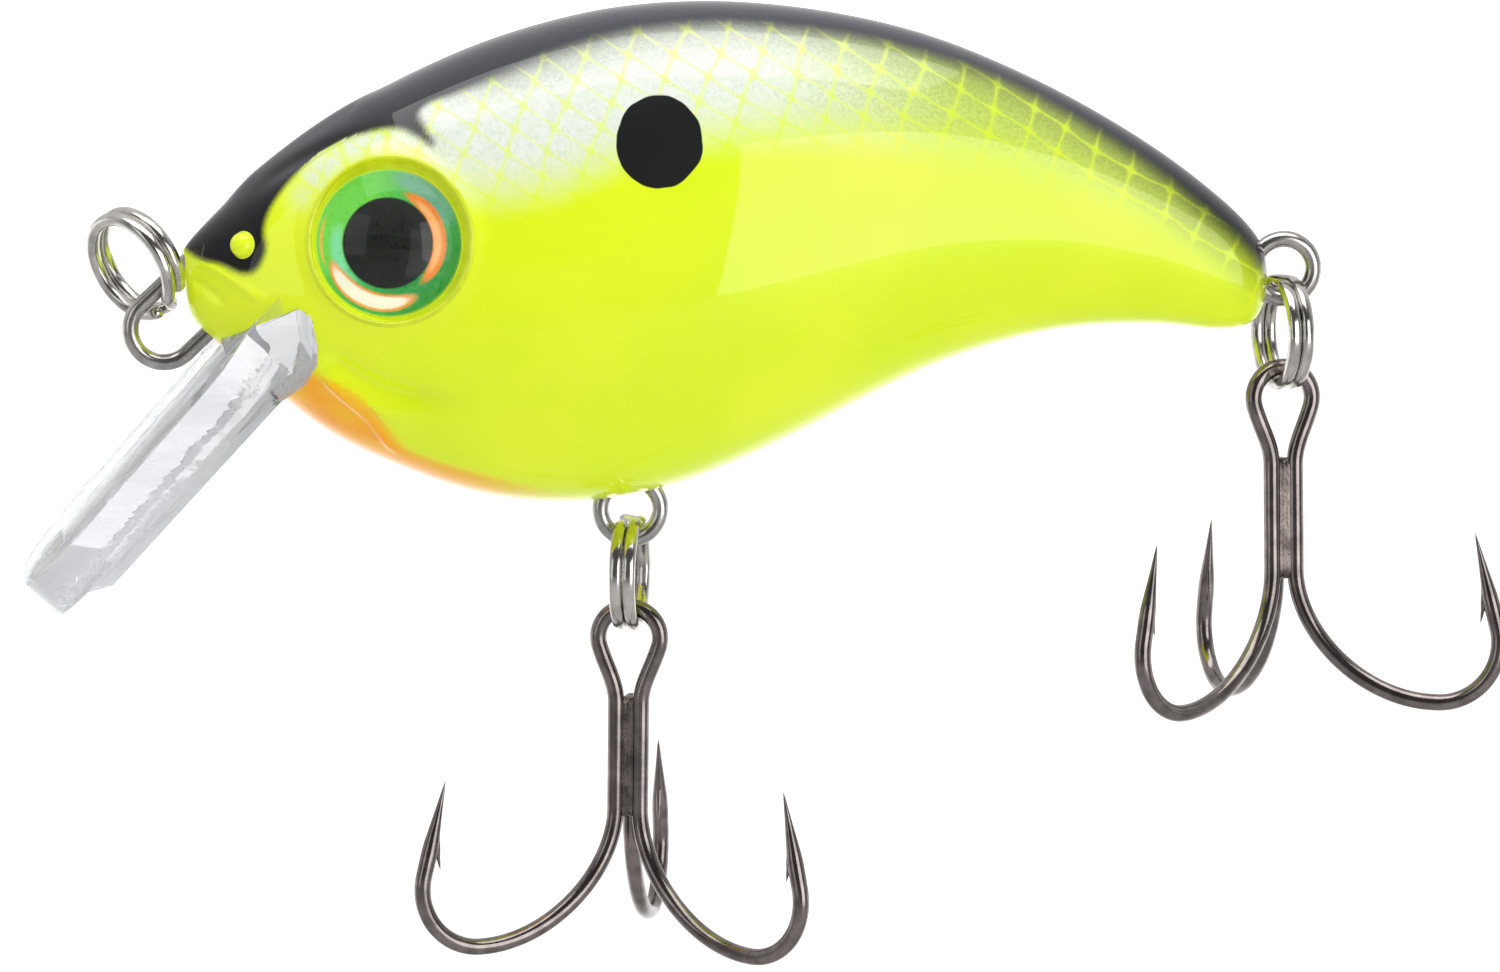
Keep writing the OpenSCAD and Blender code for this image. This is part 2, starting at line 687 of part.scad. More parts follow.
// Solid wire through a list of [centre, side direction, radius, barb]
module wire(rings, barb_towards) {
    n = HOOK_SIDES;
    last = len(rings) - 1;
    points = [for (i = [0:last])
        let(p = rings[i][0], t = unit(rings[min(last, i + 1)][0] - rings[max(0, i - 1)][0]),
            s = rings[i][1], u = unit(s - (s * t) * t), v = cross(t, u), r = rings[i][2],
            in = rings[i][3] == 0 ? 0 : sign(v * barb_towards(p)),
            back = rings[i][3] == 0 ? [0, 0, 0] : -BARB_BACK * (t[2] > 0 ? t : -t))
        each [for (k = [0:n - 1])
            let(a = 360 * k / n, spur = in != 0 && abs(cos(a) - in) < 0.01)
            p + (r + (spur ? BARB_H : 0)) * (cos(a) * v + sin(a) * u) + (spur ? back : [0, 0, 0])]];
    sides = [for (i = [0:last - 1], j = [0:n - 1])
        let(a = i * n + j, b = i * n + (j + 1) % n) each [[a, b, b + n], [a, b + n, a + n]]];
    polyhedron(points = points, faces = concat(
        sides, [[for (j = [n - 1:-1:0]) j], [for (j = [0:n - 1]) last * n + j]]));
}
// Horizontal direction from a point towards the treble's axis
inwards = function(p) [-p[0], -p[1], 0];

LEFT_DIR = 210;
RIGHT_DIR = 330;
BACK_DIR = 90;

// One wire: left hook, shank, eye, shank and right hook
module double_hook() {
    eye_top = [[[0, shank_y, eye_mean_r], [0, 1, 0], hook_r, 0]];
    wire(concat(
        flipped(reversed(hook_rings(LEFT_DIR))), reversed(eye_rings(-1)), eye_top,
        eye_rings(1), hook_rings(RIGHT_DIR)), inwards);
}
SINGLE_TOP = -3.2;
module single_hook() {
    start = [for (q = [[SINGLE_TOP, hook_r * 0.7], [SINGLE_TOP - 0.4, hook_r]])
        [[0, SHANK_R, q[0]], [1, 0, 0], q[1], 0]];
    wire(concat(start, hook_rings(BACK_DIR)), inwards);
}
// Brazing metal that fills the space between the three shank wires
BRAZE_R = 0.86;
BRAZE_TOP = -3.55;
module braze() {
    difference() {
        translate([0, 0, FLARE_Z - 0.2])
            cylinder(r = BRAZE_R, h = BRAZE_TOP - FLARE_Z + 0.2, $fn = 48);
        for (a = [LEFT_DIR, RIGHT_DIR, BACK_DIR])
            translate([SHANK_R * cos(a), SHANK_R * sin(a), -20])
                cylinder(r = hook_r + 0.015, h = 20, $fn = 32);
    }
}

// Puts a treble's eye round the bottom of its ring, swung on the ring's axis
module hang(ring, yaw, swing = 0) {
    translate(ring)
        rotate([swing, 0, yaw])
            translate([0, -shank_y, -ring_inner_r - hook_drop])
                children();
}
module belly_treble_double_hook() {
    color(BLACK_NICKEL) hang(belly_ring, belly_yaw) double_hook();
}
module belly_treble_single_hook() {
    color(BLACK_NICKEL) hang(belly_ring, belly_yaw) single_hook();
}
module belly_treble_braze() {
    color(BLACK_NICKEL) hang(belly_ring, belly_yaw) braze();
}
module tail_treble_double_hook() {
    color(BLACK_NICKEL) hang(tail_ring, tail_yaw, tail_swing) double_hook();
}
module tail_treble_single_hook() {
    color(BLACK_NICKEL) hang(tail_ring, tail_yaw, tail_swing) single_hook();
}
module tail_treble_braze() {
    color(BLACK_NICKEL) hang(tail_ring, tail_yaw, tail_swing) braze();
}

left_body_shell();
right_body_shell();
diving_lip();
line_tie_wire();
belly_hook_hanger();
tail_hook_hanger();
left_eye_foil();
left_eye_dome();
right_eye_foil();
right_eye_dome();
belly_ballast();
knocker_ball();
rattle_balls();
nose_split_ring();
belly_split_ring();
tail_split_ring();
belly_treble_double_hook();
belly_treble_single_hook();
belly_treble_braze();
tail_treble_double_hook();
tail_treble_single_hook();
tail_treble_braze();
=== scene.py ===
"""Looks for the crankbait lure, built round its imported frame. Lengths are in millimetres until a mesh is made."""

import json
import math

import bmesh
import bpy
import numpy as np
from mathutils import Matrix, Vector


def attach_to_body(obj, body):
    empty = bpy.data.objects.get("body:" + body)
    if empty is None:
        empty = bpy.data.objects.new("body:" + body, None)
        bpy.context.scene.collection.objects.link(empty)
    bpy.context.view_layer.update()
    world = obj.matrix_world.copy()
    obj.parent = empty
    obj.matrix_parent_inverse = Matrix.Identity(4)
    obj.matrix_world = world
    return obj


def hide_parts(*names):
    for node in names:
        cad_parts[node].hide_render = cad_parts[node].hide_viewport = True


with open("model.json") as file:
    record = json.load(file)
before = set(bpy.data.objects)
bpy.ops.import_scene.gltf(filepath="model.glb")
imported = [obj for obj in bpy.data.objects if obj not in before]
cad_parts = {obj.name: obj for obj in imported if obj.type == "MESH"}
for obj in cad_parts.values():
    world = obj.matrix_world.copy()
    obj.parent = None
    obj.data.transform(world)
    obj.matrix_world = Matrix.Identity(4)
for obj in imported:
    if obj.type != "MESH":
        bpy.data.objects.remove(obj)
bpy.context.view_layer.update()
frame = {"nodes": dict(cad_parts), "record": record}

MM = 0.001
X, Y, Z = (1, 0, 0), (0, 1, 0), (0, 0, 1)
link = bpy.context.scene.collection.objects.link
JOINTS = {j["name"]: j for j in frame["record"]["behaviour"]["joints"]}


# --- Places read from the frame ---
def joint_point(name):
    return np.array(JOINTS[name]["pos_m"]) / MM


def joint_yaw(name):
    axis = JOINTS[name]["axis"]
    return math.degrees(math.atan2(axis[1], axis[0]))


# The frame's origin is the centre of the line tie's eye
LINE_TIE = np.zeros(3)
BELLY_HANGER = joint_point("belly_ring_swing")
BELLY_RING = joint_point("belly_treble_swing")
BELLY_YAW = joint_yaw("belly_treble_swing")
TAIL_HANGER = joint_point("tail_ring_swing")
TAIL_RING = joint_point("tail_treble_swing")
TAIL_YAW = joint_yaw("tail_treble_swing")


# --- Mesh helpers ---
def make_object(name, verts, faces, material, body, replaces=(), smooth=True):
    mesh = bpy.data.meshes.new(name)
    mesh.from_pydata((np.asarray(verts, float) * MM).tolist(), [], [list(map(int, f)) for f in faces])
    mesh.validate()
    mesh.polygons.foreach_set("use_smooth", [smooth] * len(mesh.polygons))
    mesh.update()
    return attach(name, mesh, material, body, replaces)


def attach(name, mesh, material, body, replaces):
    """Puts a mesh in the scene with its material and says what it rides on and replaces."""
    obj = bpy.data.objects.new(name, mesh)
    link(obj)
    mesh.materials.append(material)
    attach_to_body(obj, body)
    if replaces:
        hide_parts(*replaces)
    return obj


def merge(parts):
    """Joins (verts, faces) pairs into one pair."""
    verts, faces, n = [], [], 0
    for v, f in parts:
        verts.append(np.asarray(v, float))
        faces += [[i + n for i in q] for q in f]
        n += len(v)
    return np.concatenate(verts), faces


def point_colours(obj, name, values):
    """Adds a colour attribute with one value (n x 3 or n) for each vertex."""
    values = np.asarray(values, float)
    if values.ndim == 1:
        values = np.repeat(values[:, None], 3, axis=1)
    rgba = np.concatenate([values, np.ones((len(values), 1))], axis=1)
    attribute = obj.data.color_attributes.new(name=name, type="FLOAT_COLOR", domain="POINT")
    attribute.data.foreach_set("color", rgba.astype(np.float32).ravel())


def unit(v):
    return v / np.maximum(np.linalg.norm(v, axis=-1, keepdims=True), 1e-12)


def rotation(axis, degrees):
    return np.array(Matrix.Rotation(math.radians(degrees), 3, Vector(axis)))


def circle_angles(n):
    return np.linspace(0, 2 * np.pi, n, endpoint=False)


def sweep(path, radii, profile=None, closed=False, sides=24, up=Z):
    """Tube along a path. profile is a closed array of (side, up) offsets scaled by the radii, or round if left out."""
    path = np.asarray(path, float)
    n = len(path)
    radii = np.broadcast_to(np.asarray(radii, float), (n,))
    if profile is None:
        a = circle_angles(sides)
        profile = np.stack([np.cos(a), np.sin(a)], 1)
    k = len(profile)
    tangent = np.roll(path, -1, 0) - np.roll(path, 1, 0)
    if not closed:
        tangent[0], tangent[-1] = path[1] - path[0], path[-1] - path[-2]
    tangent = unit(tangent)
    side = np.array(up, float)
    side = unit(side - side @ tangent[0] * tangent[0])
    rings = []
    for p, t, r in zip(path, tangent, radii):
        side = unit(side - side @ t * t)
        other = np.cross(t, side)
        rings.append(p + r * (profile[:, :1] * other + profile[:, 1:] * side))
    verts = np.concatenate(rings)
    faces = []
    for i in range(n if closed else n - 1):
        a, b = i * k, ((i + 1) % n) * k
        faces += [[a + j, a + (j + 1) % k, b + (j + 1) % k, b + j] for j in range(k)]
    if not closed:
        faces += [list(range(k))[::-1], list(range((n - 1) * k, n * k))]
    return verts, faces


def ring_faces(rows, n, flip=False):
    """Quads between rings of n points each."""
    faces = []
    for i in range(rows - 1):
        for j in range(n):
            k = (j + 1) % n
            q = [i * n + j, (i + 1) * n + j, (i + 1) * n + k, i * n + k]
            faces.append(q[::-1] if flip else q)
    return faces


def lathe(profile, segments):
    """Surface of revolution about Z from (radius, height) points; a radius of 0 closes it."""
    profile = np.asarray(profile, float)
    verts, rows = [], []
    for r, z in profile:
        if r < 1e-9:
            rows.append([len(verts)])
            verts.append((0, 0, z))
        else:
            rows.append(list(range(len(verts), len(verts) + segments)))
            verts += [(r * math.cos(t), r * math.sin(t), z) for t in circle_angles(segments)]
    faces = []
    for lower, upper in zip(rows, rows[1:]):
        for j in range(segments):
            k = (j + 1) % segments
            if len(lower) == 1 and len(upper) > 1:
                faces.append([lower[0], upper[k], upper[j]])
            elif len(upper) == 1 and len(lower) > 1:
                faces.append([lower[j], lower[k], upper[0]])
            elif len(lower) > 1:
                faces.append([lower[j], lower[k], upper[k], upper[j]])
    return np.array(verts), faces


def bezier(p, t):
    p = np.asarray(p, float)
    t = np.asarray(t, float)[:, None]
    return (1 - t) ** 3 * p[0] + 3 * t * (1 - t) ** 2 * p[1] + 3 * t**2 * (1 - t) * p[2] + t**3 * p[3]


def smoothstep(low, high, x):
    t = np.clip((np.asarray(x, float) - low) / (high - low), 0, 1)
    return t * t * (3 - 2 * t)


# --- Materials ---
def srgb(r, g, b):
    """Linear colour from 0-255 display values."""
    c = [v / 255 for v in (r, g, b)]
    return tuple(v / 12.92 if v <= 0.04045 else ((v + 0.055) / 1.055) ** 2.4 for v in c) + (1.0,)


class Graph:
    """Short way to write the nodes of a material or of the world."""

    def __init__(self, block, output="ShaderNodeOutputMaterial"):
        self.block = bpy.data.materials.new(block) if isinstance(block, str) else block
        self.block.use_nodes = True
        self.tree = self.block.node_tree
        self.tree.nodes.clear()
        self.new = self.tree.nodes.new
        self.output = self.new(output)

    def node(self, kind, **inputs):
        n = self.new(kind)
        for key, value in inputs.items():
            self.set(n, key.replace("_", " "), value)
        return n

    def set(self, n, key, value):
        """Fills an input, named or numbered, with a value or with a link to an output."""
        if isinstance(value, bpy.types.NodeSocket):
            self.tree.links.new(value, n.inputs[key])
        else:
            n.inputs[key].default_value = value

    def fill(self, n, *values):
        """Fills the first inputs in order."""
        for i, v in enumerate(values):
            self.set(n, i, v)
        return n.outputs[0]

    def math(self, operation, *values, clamp=False):
        n = self.new("ShaderNodeMath")
        n.operation = operation
        n.use_clamp = clamp
        return self.fill(n, *values)

    def times(self, a, b):
        return self.math("MULTIPLY", a, b)

    def plus(self, a, b, clamp=False):
        return self.math("ADD", a, b, clamp=clamp)

    def minus(self, a, b):
        return self.math("SUBTRACT", a, b)

    def mix(self, factor, a, b):
        n = self.new("ShaderNodeMix")
        n.data_type = "RGBA"
        for i, v in ((0, factor), (6, a), (7, b)):
            self.set(n, i, v)
        return n.outputs[2]

    def mix_shader(self, factor, a, b):
        return self.fill(self.new("ShaderNodeMixShader"), factor, a, b)

    def ramp(self, value, low, high, to_low=0.0, to_high=1.0, smooth=True):
        n = self.new("ShaderNodeMapRange")
        n.interpolation_type = "SMOOTHSTEP" if smooth else "LINEAR"
        return self.fill(n, value, low, high, to_low, to_high)

    def noise(self, vector, scale, detail, roughness=0.5):
        n = self.node("ShaderNodeTexNoise", Vector=vector, Scale=scale, Detail=detail, Roughness=roughness)
        return n.outputs[0]

    def mottle(self, vector, scale, detail, a, b):
        """Soft patches of two colours."""
        return self.mix(self.ramp(self.noise(vector, scale, detail), 0.3, 0.7), a, b)

    def attribute(self, name):
        n = self.new("ShaderNodeAttribute")
        n.attribute_name = name
        return n.outputs["Color"]

    def channels(self, name):
        """Red, green and blue of a colour attribute."""
        return self.node("ShaderNodeSeparateColor", Color=self.attribute(name)).outputs

    def xyz(self, vector):
        return self.node("ShaderNodeSeparateXYZ", Vector=vector).outputs

    def place(self):
        """The point as built, in millimetres. It moves with its piece."""
        n = self.new("ShaderNodeTexCoord")
        m = self.new("ShaderNodeVectorMath")
        m.operation = "SCALE"
        self.set(m, 0, n.outputs["Object"])
        self.set(m, "Scale", 1 / MM)
        return m.outputs[0]

    def bump(self, height, strength, distance_mm):
        n = self.node("ShaderNodeBump", Strength=strength, Distance=distance_mm * MM, Height=height)
        return n.outputs[0]

    def principled(self, **inputs):
        return self.node("ShaderNodeBsdfPrincipled", **inputs).outputs[0]

    def surface(self, shader):
        self.tree.links.new(shader, self.output.inputs["Surface"])
        return self.block


def metal(name, colour, roughness, grain=60.0, bump=0.05, dirt=0.12):
    """Plated wire: fine drawing marks, slight clouding of the gloss and darker specks."""
    g = Graph(name)
    p = g.place()
    cloud = g.noise(p, 0.9, 4.0)
    fine = g.noise(p, grain / 6, 6.0, 0.65)
    dark = tuple(c * (1 - dirt * 2.2) for c in colour[:3]) + (1.0,)
    base = g.mix(g.ramp(cloud, 0.35, 0.65), dark, colour)
    rough = g.ramp(fine, 0.3, 0.75, roughness * 0.7, roughness * 1.45, smooth=False)
    return g.surface(g.principled(Base_Color=base, Roughness=rough, Metallic=1.0, Normal=g.bump(fine, bump, 0.05)))


def see_through(g, shader, tint):
    """Lets shadow rays pass straight through a clear material."""
    clear = g.node("ShaderNodeBsdfTransparent", Color=tint).outputs[0]
    return g.mix_shader(g.new("ShaderNodeLightPath").outputs["Is Shadow Ray"], shader, clear)


def eye_clear():
    """Clear resin with faint waves in its surface."""
    g = Graph("eye_clear")
    wave = g.noise(g.place(), 0.7, 2.0)
    tint = (0.97, 1.0, 0.98, 1.0)
    shader = g.principled(Base_Color=tint, Roughness=0.0, IOR=1.34, Transmission_Weight=1.0,
                          Normal=g.bump(wave, 0.012, 0.1))
    return g.surface(see_through(g, shader, tint))


def lip_clear():
    """Moulded clear plastic: flow streaks along the blade, a slight haze and small flecks."""
    g = Graph("lip_clear")
    blade = g.node("ShaderNodeMapping", Vector=g.new("ShaderNodeTexCoord").outputs["Object"],
                   Rotation=(0, math.radians(-49), 0), Scale=(70, 480, 480))
    flow = g.noise(blade.outputs[0], 1.0, 3.0, 0.55)
    fleck = g.noise(g.place(), 1.6, 5.0, 0.7)
    glass = g.principled(Base_Color=(0.88, 0.885, 0.915, 1.0), Roughness=g.ramp(fleck, 0.45, 0.75, 0.02, 0.22),
                         IOR=1.5, Transmission_Weight=1.0, Normal=g.bump(flow, 0.16, 0.3))
    # Painted light and shade: the haze is pale towards the tip and grey up by the root
    height = g.xyz(g.place())[2]
    tone = g.mix(g.ramp(height, -9.0, -1.5), (0.92, 0.93, 0.96, 1), (0.5, 0.5, 0.53, 1))
    haze = g.node("ShaderNodeBsdfDiffuse", Color=tone).outputs[0]
    both = g.mix_shader(g.ramp(flow, 0.35, 0.7, 0.12, 0.3), glass, haze)
    return g.surface(see_through(g, both, (0.9, 0.91, 0.93, 1.0)))


NICKEL = metal("bright_nickel", srgb(226, 222, 217), 0.13)
STAINLESS = metal("stainless_wire", srgb(208, 204, 199), 0.2)
BLACK_NICKEL = metal("black_nickel", srgb(150, 141, 138), 0.15, dirt=0.16)
BRAZE = metal("brazed_joint", srgb(140, 130, 126), 0.24, grain=46.0, bump=0.55, dirt=0.25)
LEAD = metal("ballast_metal", srgb(120, 122, 126), 0.5, grain=20.0, bump=0.3)
BALL = metal("ball_steel", srgb(200, 201, 203), 0.12)
CLEAR_DOME = eye_clear()
CLEAR_LIP = lip_clear()

# --- Body outline, as in the part's source ---
BODY_LEN = 60.2
NOSE_X = 1.05
FULLNESS = 2.15
WIDEST = 0.47
TOP = [
    (0, 4.3), (0.2, 4.65), (1.4, 6.0), (4.8, 9.3), (8.1, 11.7), (11.4, 13.6),
    (18, 16.45), (24.7, 18.0), (29, 18.25), (33, 18.0), (39.7, 16.8), (46.3, 14.3),
    (53, 10.65), (57, 7.75), (59.5, 5.3), (60.1, 4.1), (60.2, 2.9),
]
BOTTOM = [
    (0, 4.2), (0.1, 1.9), (0.6, 0.55), (2.1, -0.8), (5.6, -3.75), (8.1, -5.75),
    (11.4, -7.3), (14.7, -8.6), (18, -9.4), (21.4, -9.6), (26.4, -8.85), (33, -6.2),
    (39.7, -2.7), (43, -1.3), (46.3, -0.35), (50, 0.3), (54, 0.4), (57.5, 0),
    (59.2, 0.3), (59.9, 1.0), (60.2, 2.7),
]
HALF_WIDTH = [
    (0, 0), (0.15, 0.6), (0.6, 1.25), (2.1, 2.3), (4.5, 3.85), (8, 5.5), (12, 6.75),
    (17, 7.75), (22, 8.2), (27, 8.15), (33, 7.45), (39, 6.3), (45, 4.95), (51, 3.8),
    (56, 3.0), (58.8, 2.3), (59.8, 1.4), (60.2, 0),
]


def monotone(points, x):
    """Monotone cubic through the points."""
    p = np.array(points, float)
    h, d = np.diff(p[:, 0]), np.diff(p[:, 1]) / np.diff(p[:, 0])
    m = np.zeros(len(p))
    m[0], m[-1] = d[0], d[-1]
    for i in range(1, len(p) - 1):
        if d[i - 1] * d[i] > 0:
            m[i] = 3 * (h[i - 1] + h[i]) / ((2 * h[i] + h[i - 1]) / d[i - 1] + (h[i] + 2 * h[i - 1]) / d[i])
    i = np.clip(np.searchsorted(p[:, 0], x, side="right") - 1, 0, len(h) - 1)
    t = (x - p[i, 0]) / h[i]
    return ((1 + 2 * t) * (1 - t) ** 2 * p[i, 1] + t * (1 - t) ** 2 * h[i] * m[i]
            + t**2 * (3 - 2 * t) * p[i + 1, 1] - t**2 * (1 - t) * h[i] * m[i + 1])


def soften(values, sigma):
    """Gaussian smoothing that keeps both end values."""
    reach = int(4 * sigma)
    k = np.exp(-0.5 * (np.arange(-reach, reach + 1) / sigma) ** 2)
    padded = np.concatenate([
        2 * values[0] - values[reach:0:-1], values, 2 * values[-1] - values[-2:-reach - 2:-1]])
    return np.convolve(padded, k / k.sum(), mode="valid")


STATIONS = 440
station = np.arange(STATIONS) / (STATIONS - 1)
station_x = NOSE_X + BODY_LEN * (1 - np.cos(np.pi * station)) / 2
top_line = soften(monotone(TOP, station_x - NOSE_X), 8)
bottom_line = soften(monotone(BOTTOM, station_x - NOSE_X), 8)
half_width = soften(monotone(HALF_WIDTH, station_x - NOSE_X), 8)

# Angles of the section from keel to back, with two close rows at each edge for the parting line
SEAM_ANGLE = 0.35
angles = np.concatenate([[-90], np.linspace(-90 + SEAM_ANGLE, 90 - SEAM_ANGLE, 160), [90]])
SEAM_DEPTH = 0.05


def grid_normals(grid):
    return unit(np.cross(np.gradient(grid, axis=0), np.gradient(grid, axis=1)))


def skin_grid():
    """Left half of the smooth outer skin, stations x angles x 3, and its outward normals."""
    e = 2 / FULLNESS
    c, s = np.cos(np.radians(angles)), np.sin(np.radians(angles))
    mid = bottom_line + WIDEST * (top_line - bottom_line)
    height = np.where(angles[None, :] > 0, (top_line - mid)[:, None], (mid - bottom_line)[:, None])
    y = -half_width[:, None] * np.maximum(c, 0)[None, :] ** e
    z = mid[:, None] + height * (np.sign(s) * np.abs(s) ** e)[None, :]
    x = np.repeat(station_x[:, None], len(angles), 1)
    grid = np.stack([x, y, z], 2)
    return grid, grid_normals(grid)


def line_distance(points, line):
    """Distance from each point to a polyline in space, and how far along it, 0 to 1."""
    line = np.array(line, float)
    lengths = np.linalg.norm(np.diff(line, axis=0), axis=1)
    starts = np.concatenate([[0], np.cumsum(lengths)])
    best = np.full(points.shape[:-1], 1e9)
    where = np.zeros(points.shape[:-1])
    for i, length in enumerate(lengths):
        d = (line[i + 1] - line[i]) / length
        t = np.clip((points - line[i]) @ d, 0, length)
        gap = np.linalg.norm(points - line[i] - t[..., None] * d, axis=-1)
        closer = gap < best
        best = np.where(closer, gap, best)
        where = np.where(closer, (starts[i] + t) / starts[-1], where)
    return best, where


def inside(x, z, polygon):
    """Which points of the side view lie inside a polygon."""
    result = np.zeros(x.shape, bool)
    for (x0, z0), (x1, z1) in zip(polygon, polygon[1:] + polygon[:1]):
        if z0 != z1:
            crosses = ((z0 > z) != (z1 > z)) & (x < (x1 - x0) * (z - z0) / (z1 - z0) + x0)
            result ^= crosses
    return result


def rounded_line(points, steps):
    """Smooth curve through the points."""
    p = np.array(points, float)
    p = np.concatenate([[2 * p[0] - p[1]], p, [2 * p[-1] - p[-2]]])
    out = []
    for i in range(1, len(p) - 2):
        for t in np.arange(steps) / steps:
            out.append(0.5 * ((2 * p[i]) + (p[i + 1] - p[i - 1]) * t
                              + (2 * p[i - 1] - 5 * p[i] + 4 * p[i + 1] - p[i + 2]) * t**2
                              + (3 * p[i] - p[i - 1] - 3 * p[i + 1] + p[i + 2]) * t**3))
    out.append(p[-2])
    return np.array(out)


# --- Eye axis ---
EYE_X = NOSE_X + 11.3
EYE_Z = 5.5
SOCKET_R = 4.45
SOCKET_DEPTH = 1.35
# Radius of the hole cut in the skin for the socket
CUT_R = SOCKET_R + 0.06
eye_y = -float(monotone(HALF_WIDTH, np.array([EYE_X - NOSE_X]))[0]) + SOCKET_DEPTH
eye_turn = rotation(Z, -12) @ rotation(X, 85)
eye_centre = np.array([EYE_X, eye_y, EYE_Z])


def from_eye(points):
    return np.asarray(points, float) @ eye_turn.T + eye_centre


def to_eye(points):
    return (np.asarray(points, float) - eye_centre) @ eye_turn


def skin_y(x, z):
    """Distance of the left skin from the middle plane at a place in the side view."""
    zt, zb = np.interp(x, station_x, top_line), np.interp(x, station_x, bottom_line)
    mid = zb + WIDEST * (zt - zb)
    h = np.where(z > mid, zt - mid, mid - zb)
    t = np.clip(np.abs(z - mid) / np.maximum(h, 1e-6), 0, 1)
    return np.interp(x, station_x, half_width) * (1 - t**FULLNESS) ** (1 / FULLNESS)


def on_skin(line, steps=6):
    """Smooth curve through side-view points (x, z), laid on the left skin."""
    line = rounded_line(line, steps)
    return np.stack([line[:, 0], -skin_y(line[:, 0], line[:, 1]), line[:, 1]], 1)


# --- Moulded relief of the skin ---
# Each line in the side view: points (x, z), height, half thickness, fade-in and fade-out share of its length
RELIEF = [
    # brow ridge and the hollow below it
    ([(2.8, 6.9), (4.2, 8.7), (6.0, 10.4), (8.4, 11.9), (10.8, 12.7), (12.6, 12.4)], 0.3, 0.85, 0.2, 0.62),
    ([(4.4, 7.2), (6.3, 9.0), (9.0, 10.5), (11.2, 11.2), (12.8, 11.2)], -0.14, 0.6, 0.3, 0.45),
    # crease behind the mouth and the swell under it
    ([(8.4, -0.5), (9.8, -1.7), (11.9, -2.75), (14.4, -3.3), (17.0, -3.9)], -0.52, 0.7, 0.15, 0.45),
    ([(8.4, -1.5), (9.8, -2.8), (11.8, -3.9), (14.2, -4.5)], 0.24, 0.65, 0.2, 0.4),
    # fine jaw line
    ([(8.3, -1.8), (9.8, -3.2), (11.2, -4.5), (12.3, -6.0), (13.0, -6.7)], 0.14, 0.24, 0.15, 0.2),
    # folds over the lip
    ([(1.5, 3.95), (2.7, 3.6), (4.1, 2.8), (5.7, 1.7)], 0.16, 0.32, 0.2, 0.25),
    ([(1.4, 3.0), (2.4, 2.4), (3.6, 1.4)], -0.12, 0.32, 0.2, 0.3),
]


def relief(grid):
    height = np.zeros(grid.shape[:2])
    for points, amount, width, fade_in, fade_out in RELIEF:
        d, t = line_distance(grid, on_skin(points))
        ends = smoothstep(0, fade_in, t) * (1 - smoothstep(1 - fade_out, 1, t))
        height += amount * np.exp(-(d / width) ** 2) * ends
    local = to_eye(grid)
    r = np.hypot(local[..., 0], local[..., 1])
    near = local[..., 2] > -1
    height += np.where(near, 0.2 * np.exp(-((r - SOCKET_R - 0.15) / 0.5) ** 2), 0)
    return height


grid, normal = skin_grid()
grid = grid + relief(grid)[..., None] * normal
for column in (0, -1):
    grid[:, column] -= SEAM_DEPTH * normal[:, column] * smoothstep(0, 0.02, station * (1 - station) * 4)[:, None]
    grid[:, column, 1] = 0.0
normal = grid_normals(grid)

# --- Sprayed paint of the skin ---
# Lower edge of the black back, in the side view: (x, z)
BACK_EDGE = [
    (1.0, 4.5), (1.9, 4.0), (3.0, 3.8), (4.2, 3.4), (5.0, 3.7), (5.5, 4.8), (5.4, 5.9), (5.8, 7.1), (6.8, 8.5),
    (8.1, 9.8), (9.7, 10.8), (11.5, 11.4), (12.7, 11.5), (13.7, 11.1), (14.5, 10.75), (14.1, 11.7), (13.8, 12.3),
    (14.3, 12.85), (15.7, 13.4), (18, 14.3), (21, 15.5), (25.2, 16.7), (29.2, 17.15), (32.5, 17.1),
    (38, 16.4), (42.5, 15.25), (46.4, 13.8), (50.4, 11.7), (54.3, 9.2), (57.1, 6.95), (59.4, 4.9), (61.0, 3.1),
]
# Lower edge of the pearl scales
PEARL_EDGE = [
    (8, 10.5), (11.6, 10.0), (13.6, 9.6), (15.4, 8.3), (18, 8.0), (21.3, 8.6), (24.6, 10.1), (28.9, 11.2),
    (32.3, 11.5), (36.1, 11.3), (40, 10.8), (45.7, 9.8), (50.2, 8.2), (54.2, 6.4), (58.2, 4.4), (61.5, 2.5),
]
# Upper edge of the orange throat
THROAT_EDGE = [
    (6.4, -0.6), (8.3, -1.95), (9.5, -2.5), (10.4, -3.0), (11.6, -4.1), (13.0, -6.0),
    (14.5, -6.7), (15.8, -7.1), (18.4, -7.8), (21.7, -8.7), (26, -9.8),
]


def signed_distance(grid, edge, rest):
    """Distance to a painted edge, positive inside the region that the edge and the far points close."""
    line = on_skin(edge, 4)
    d, _ = line_distance(grid, line)
    region = [(p[0], p[2]) for p in line] + rest
    return np.where(inside(grid[..., 0], grid[..., 2], region), d, -d)


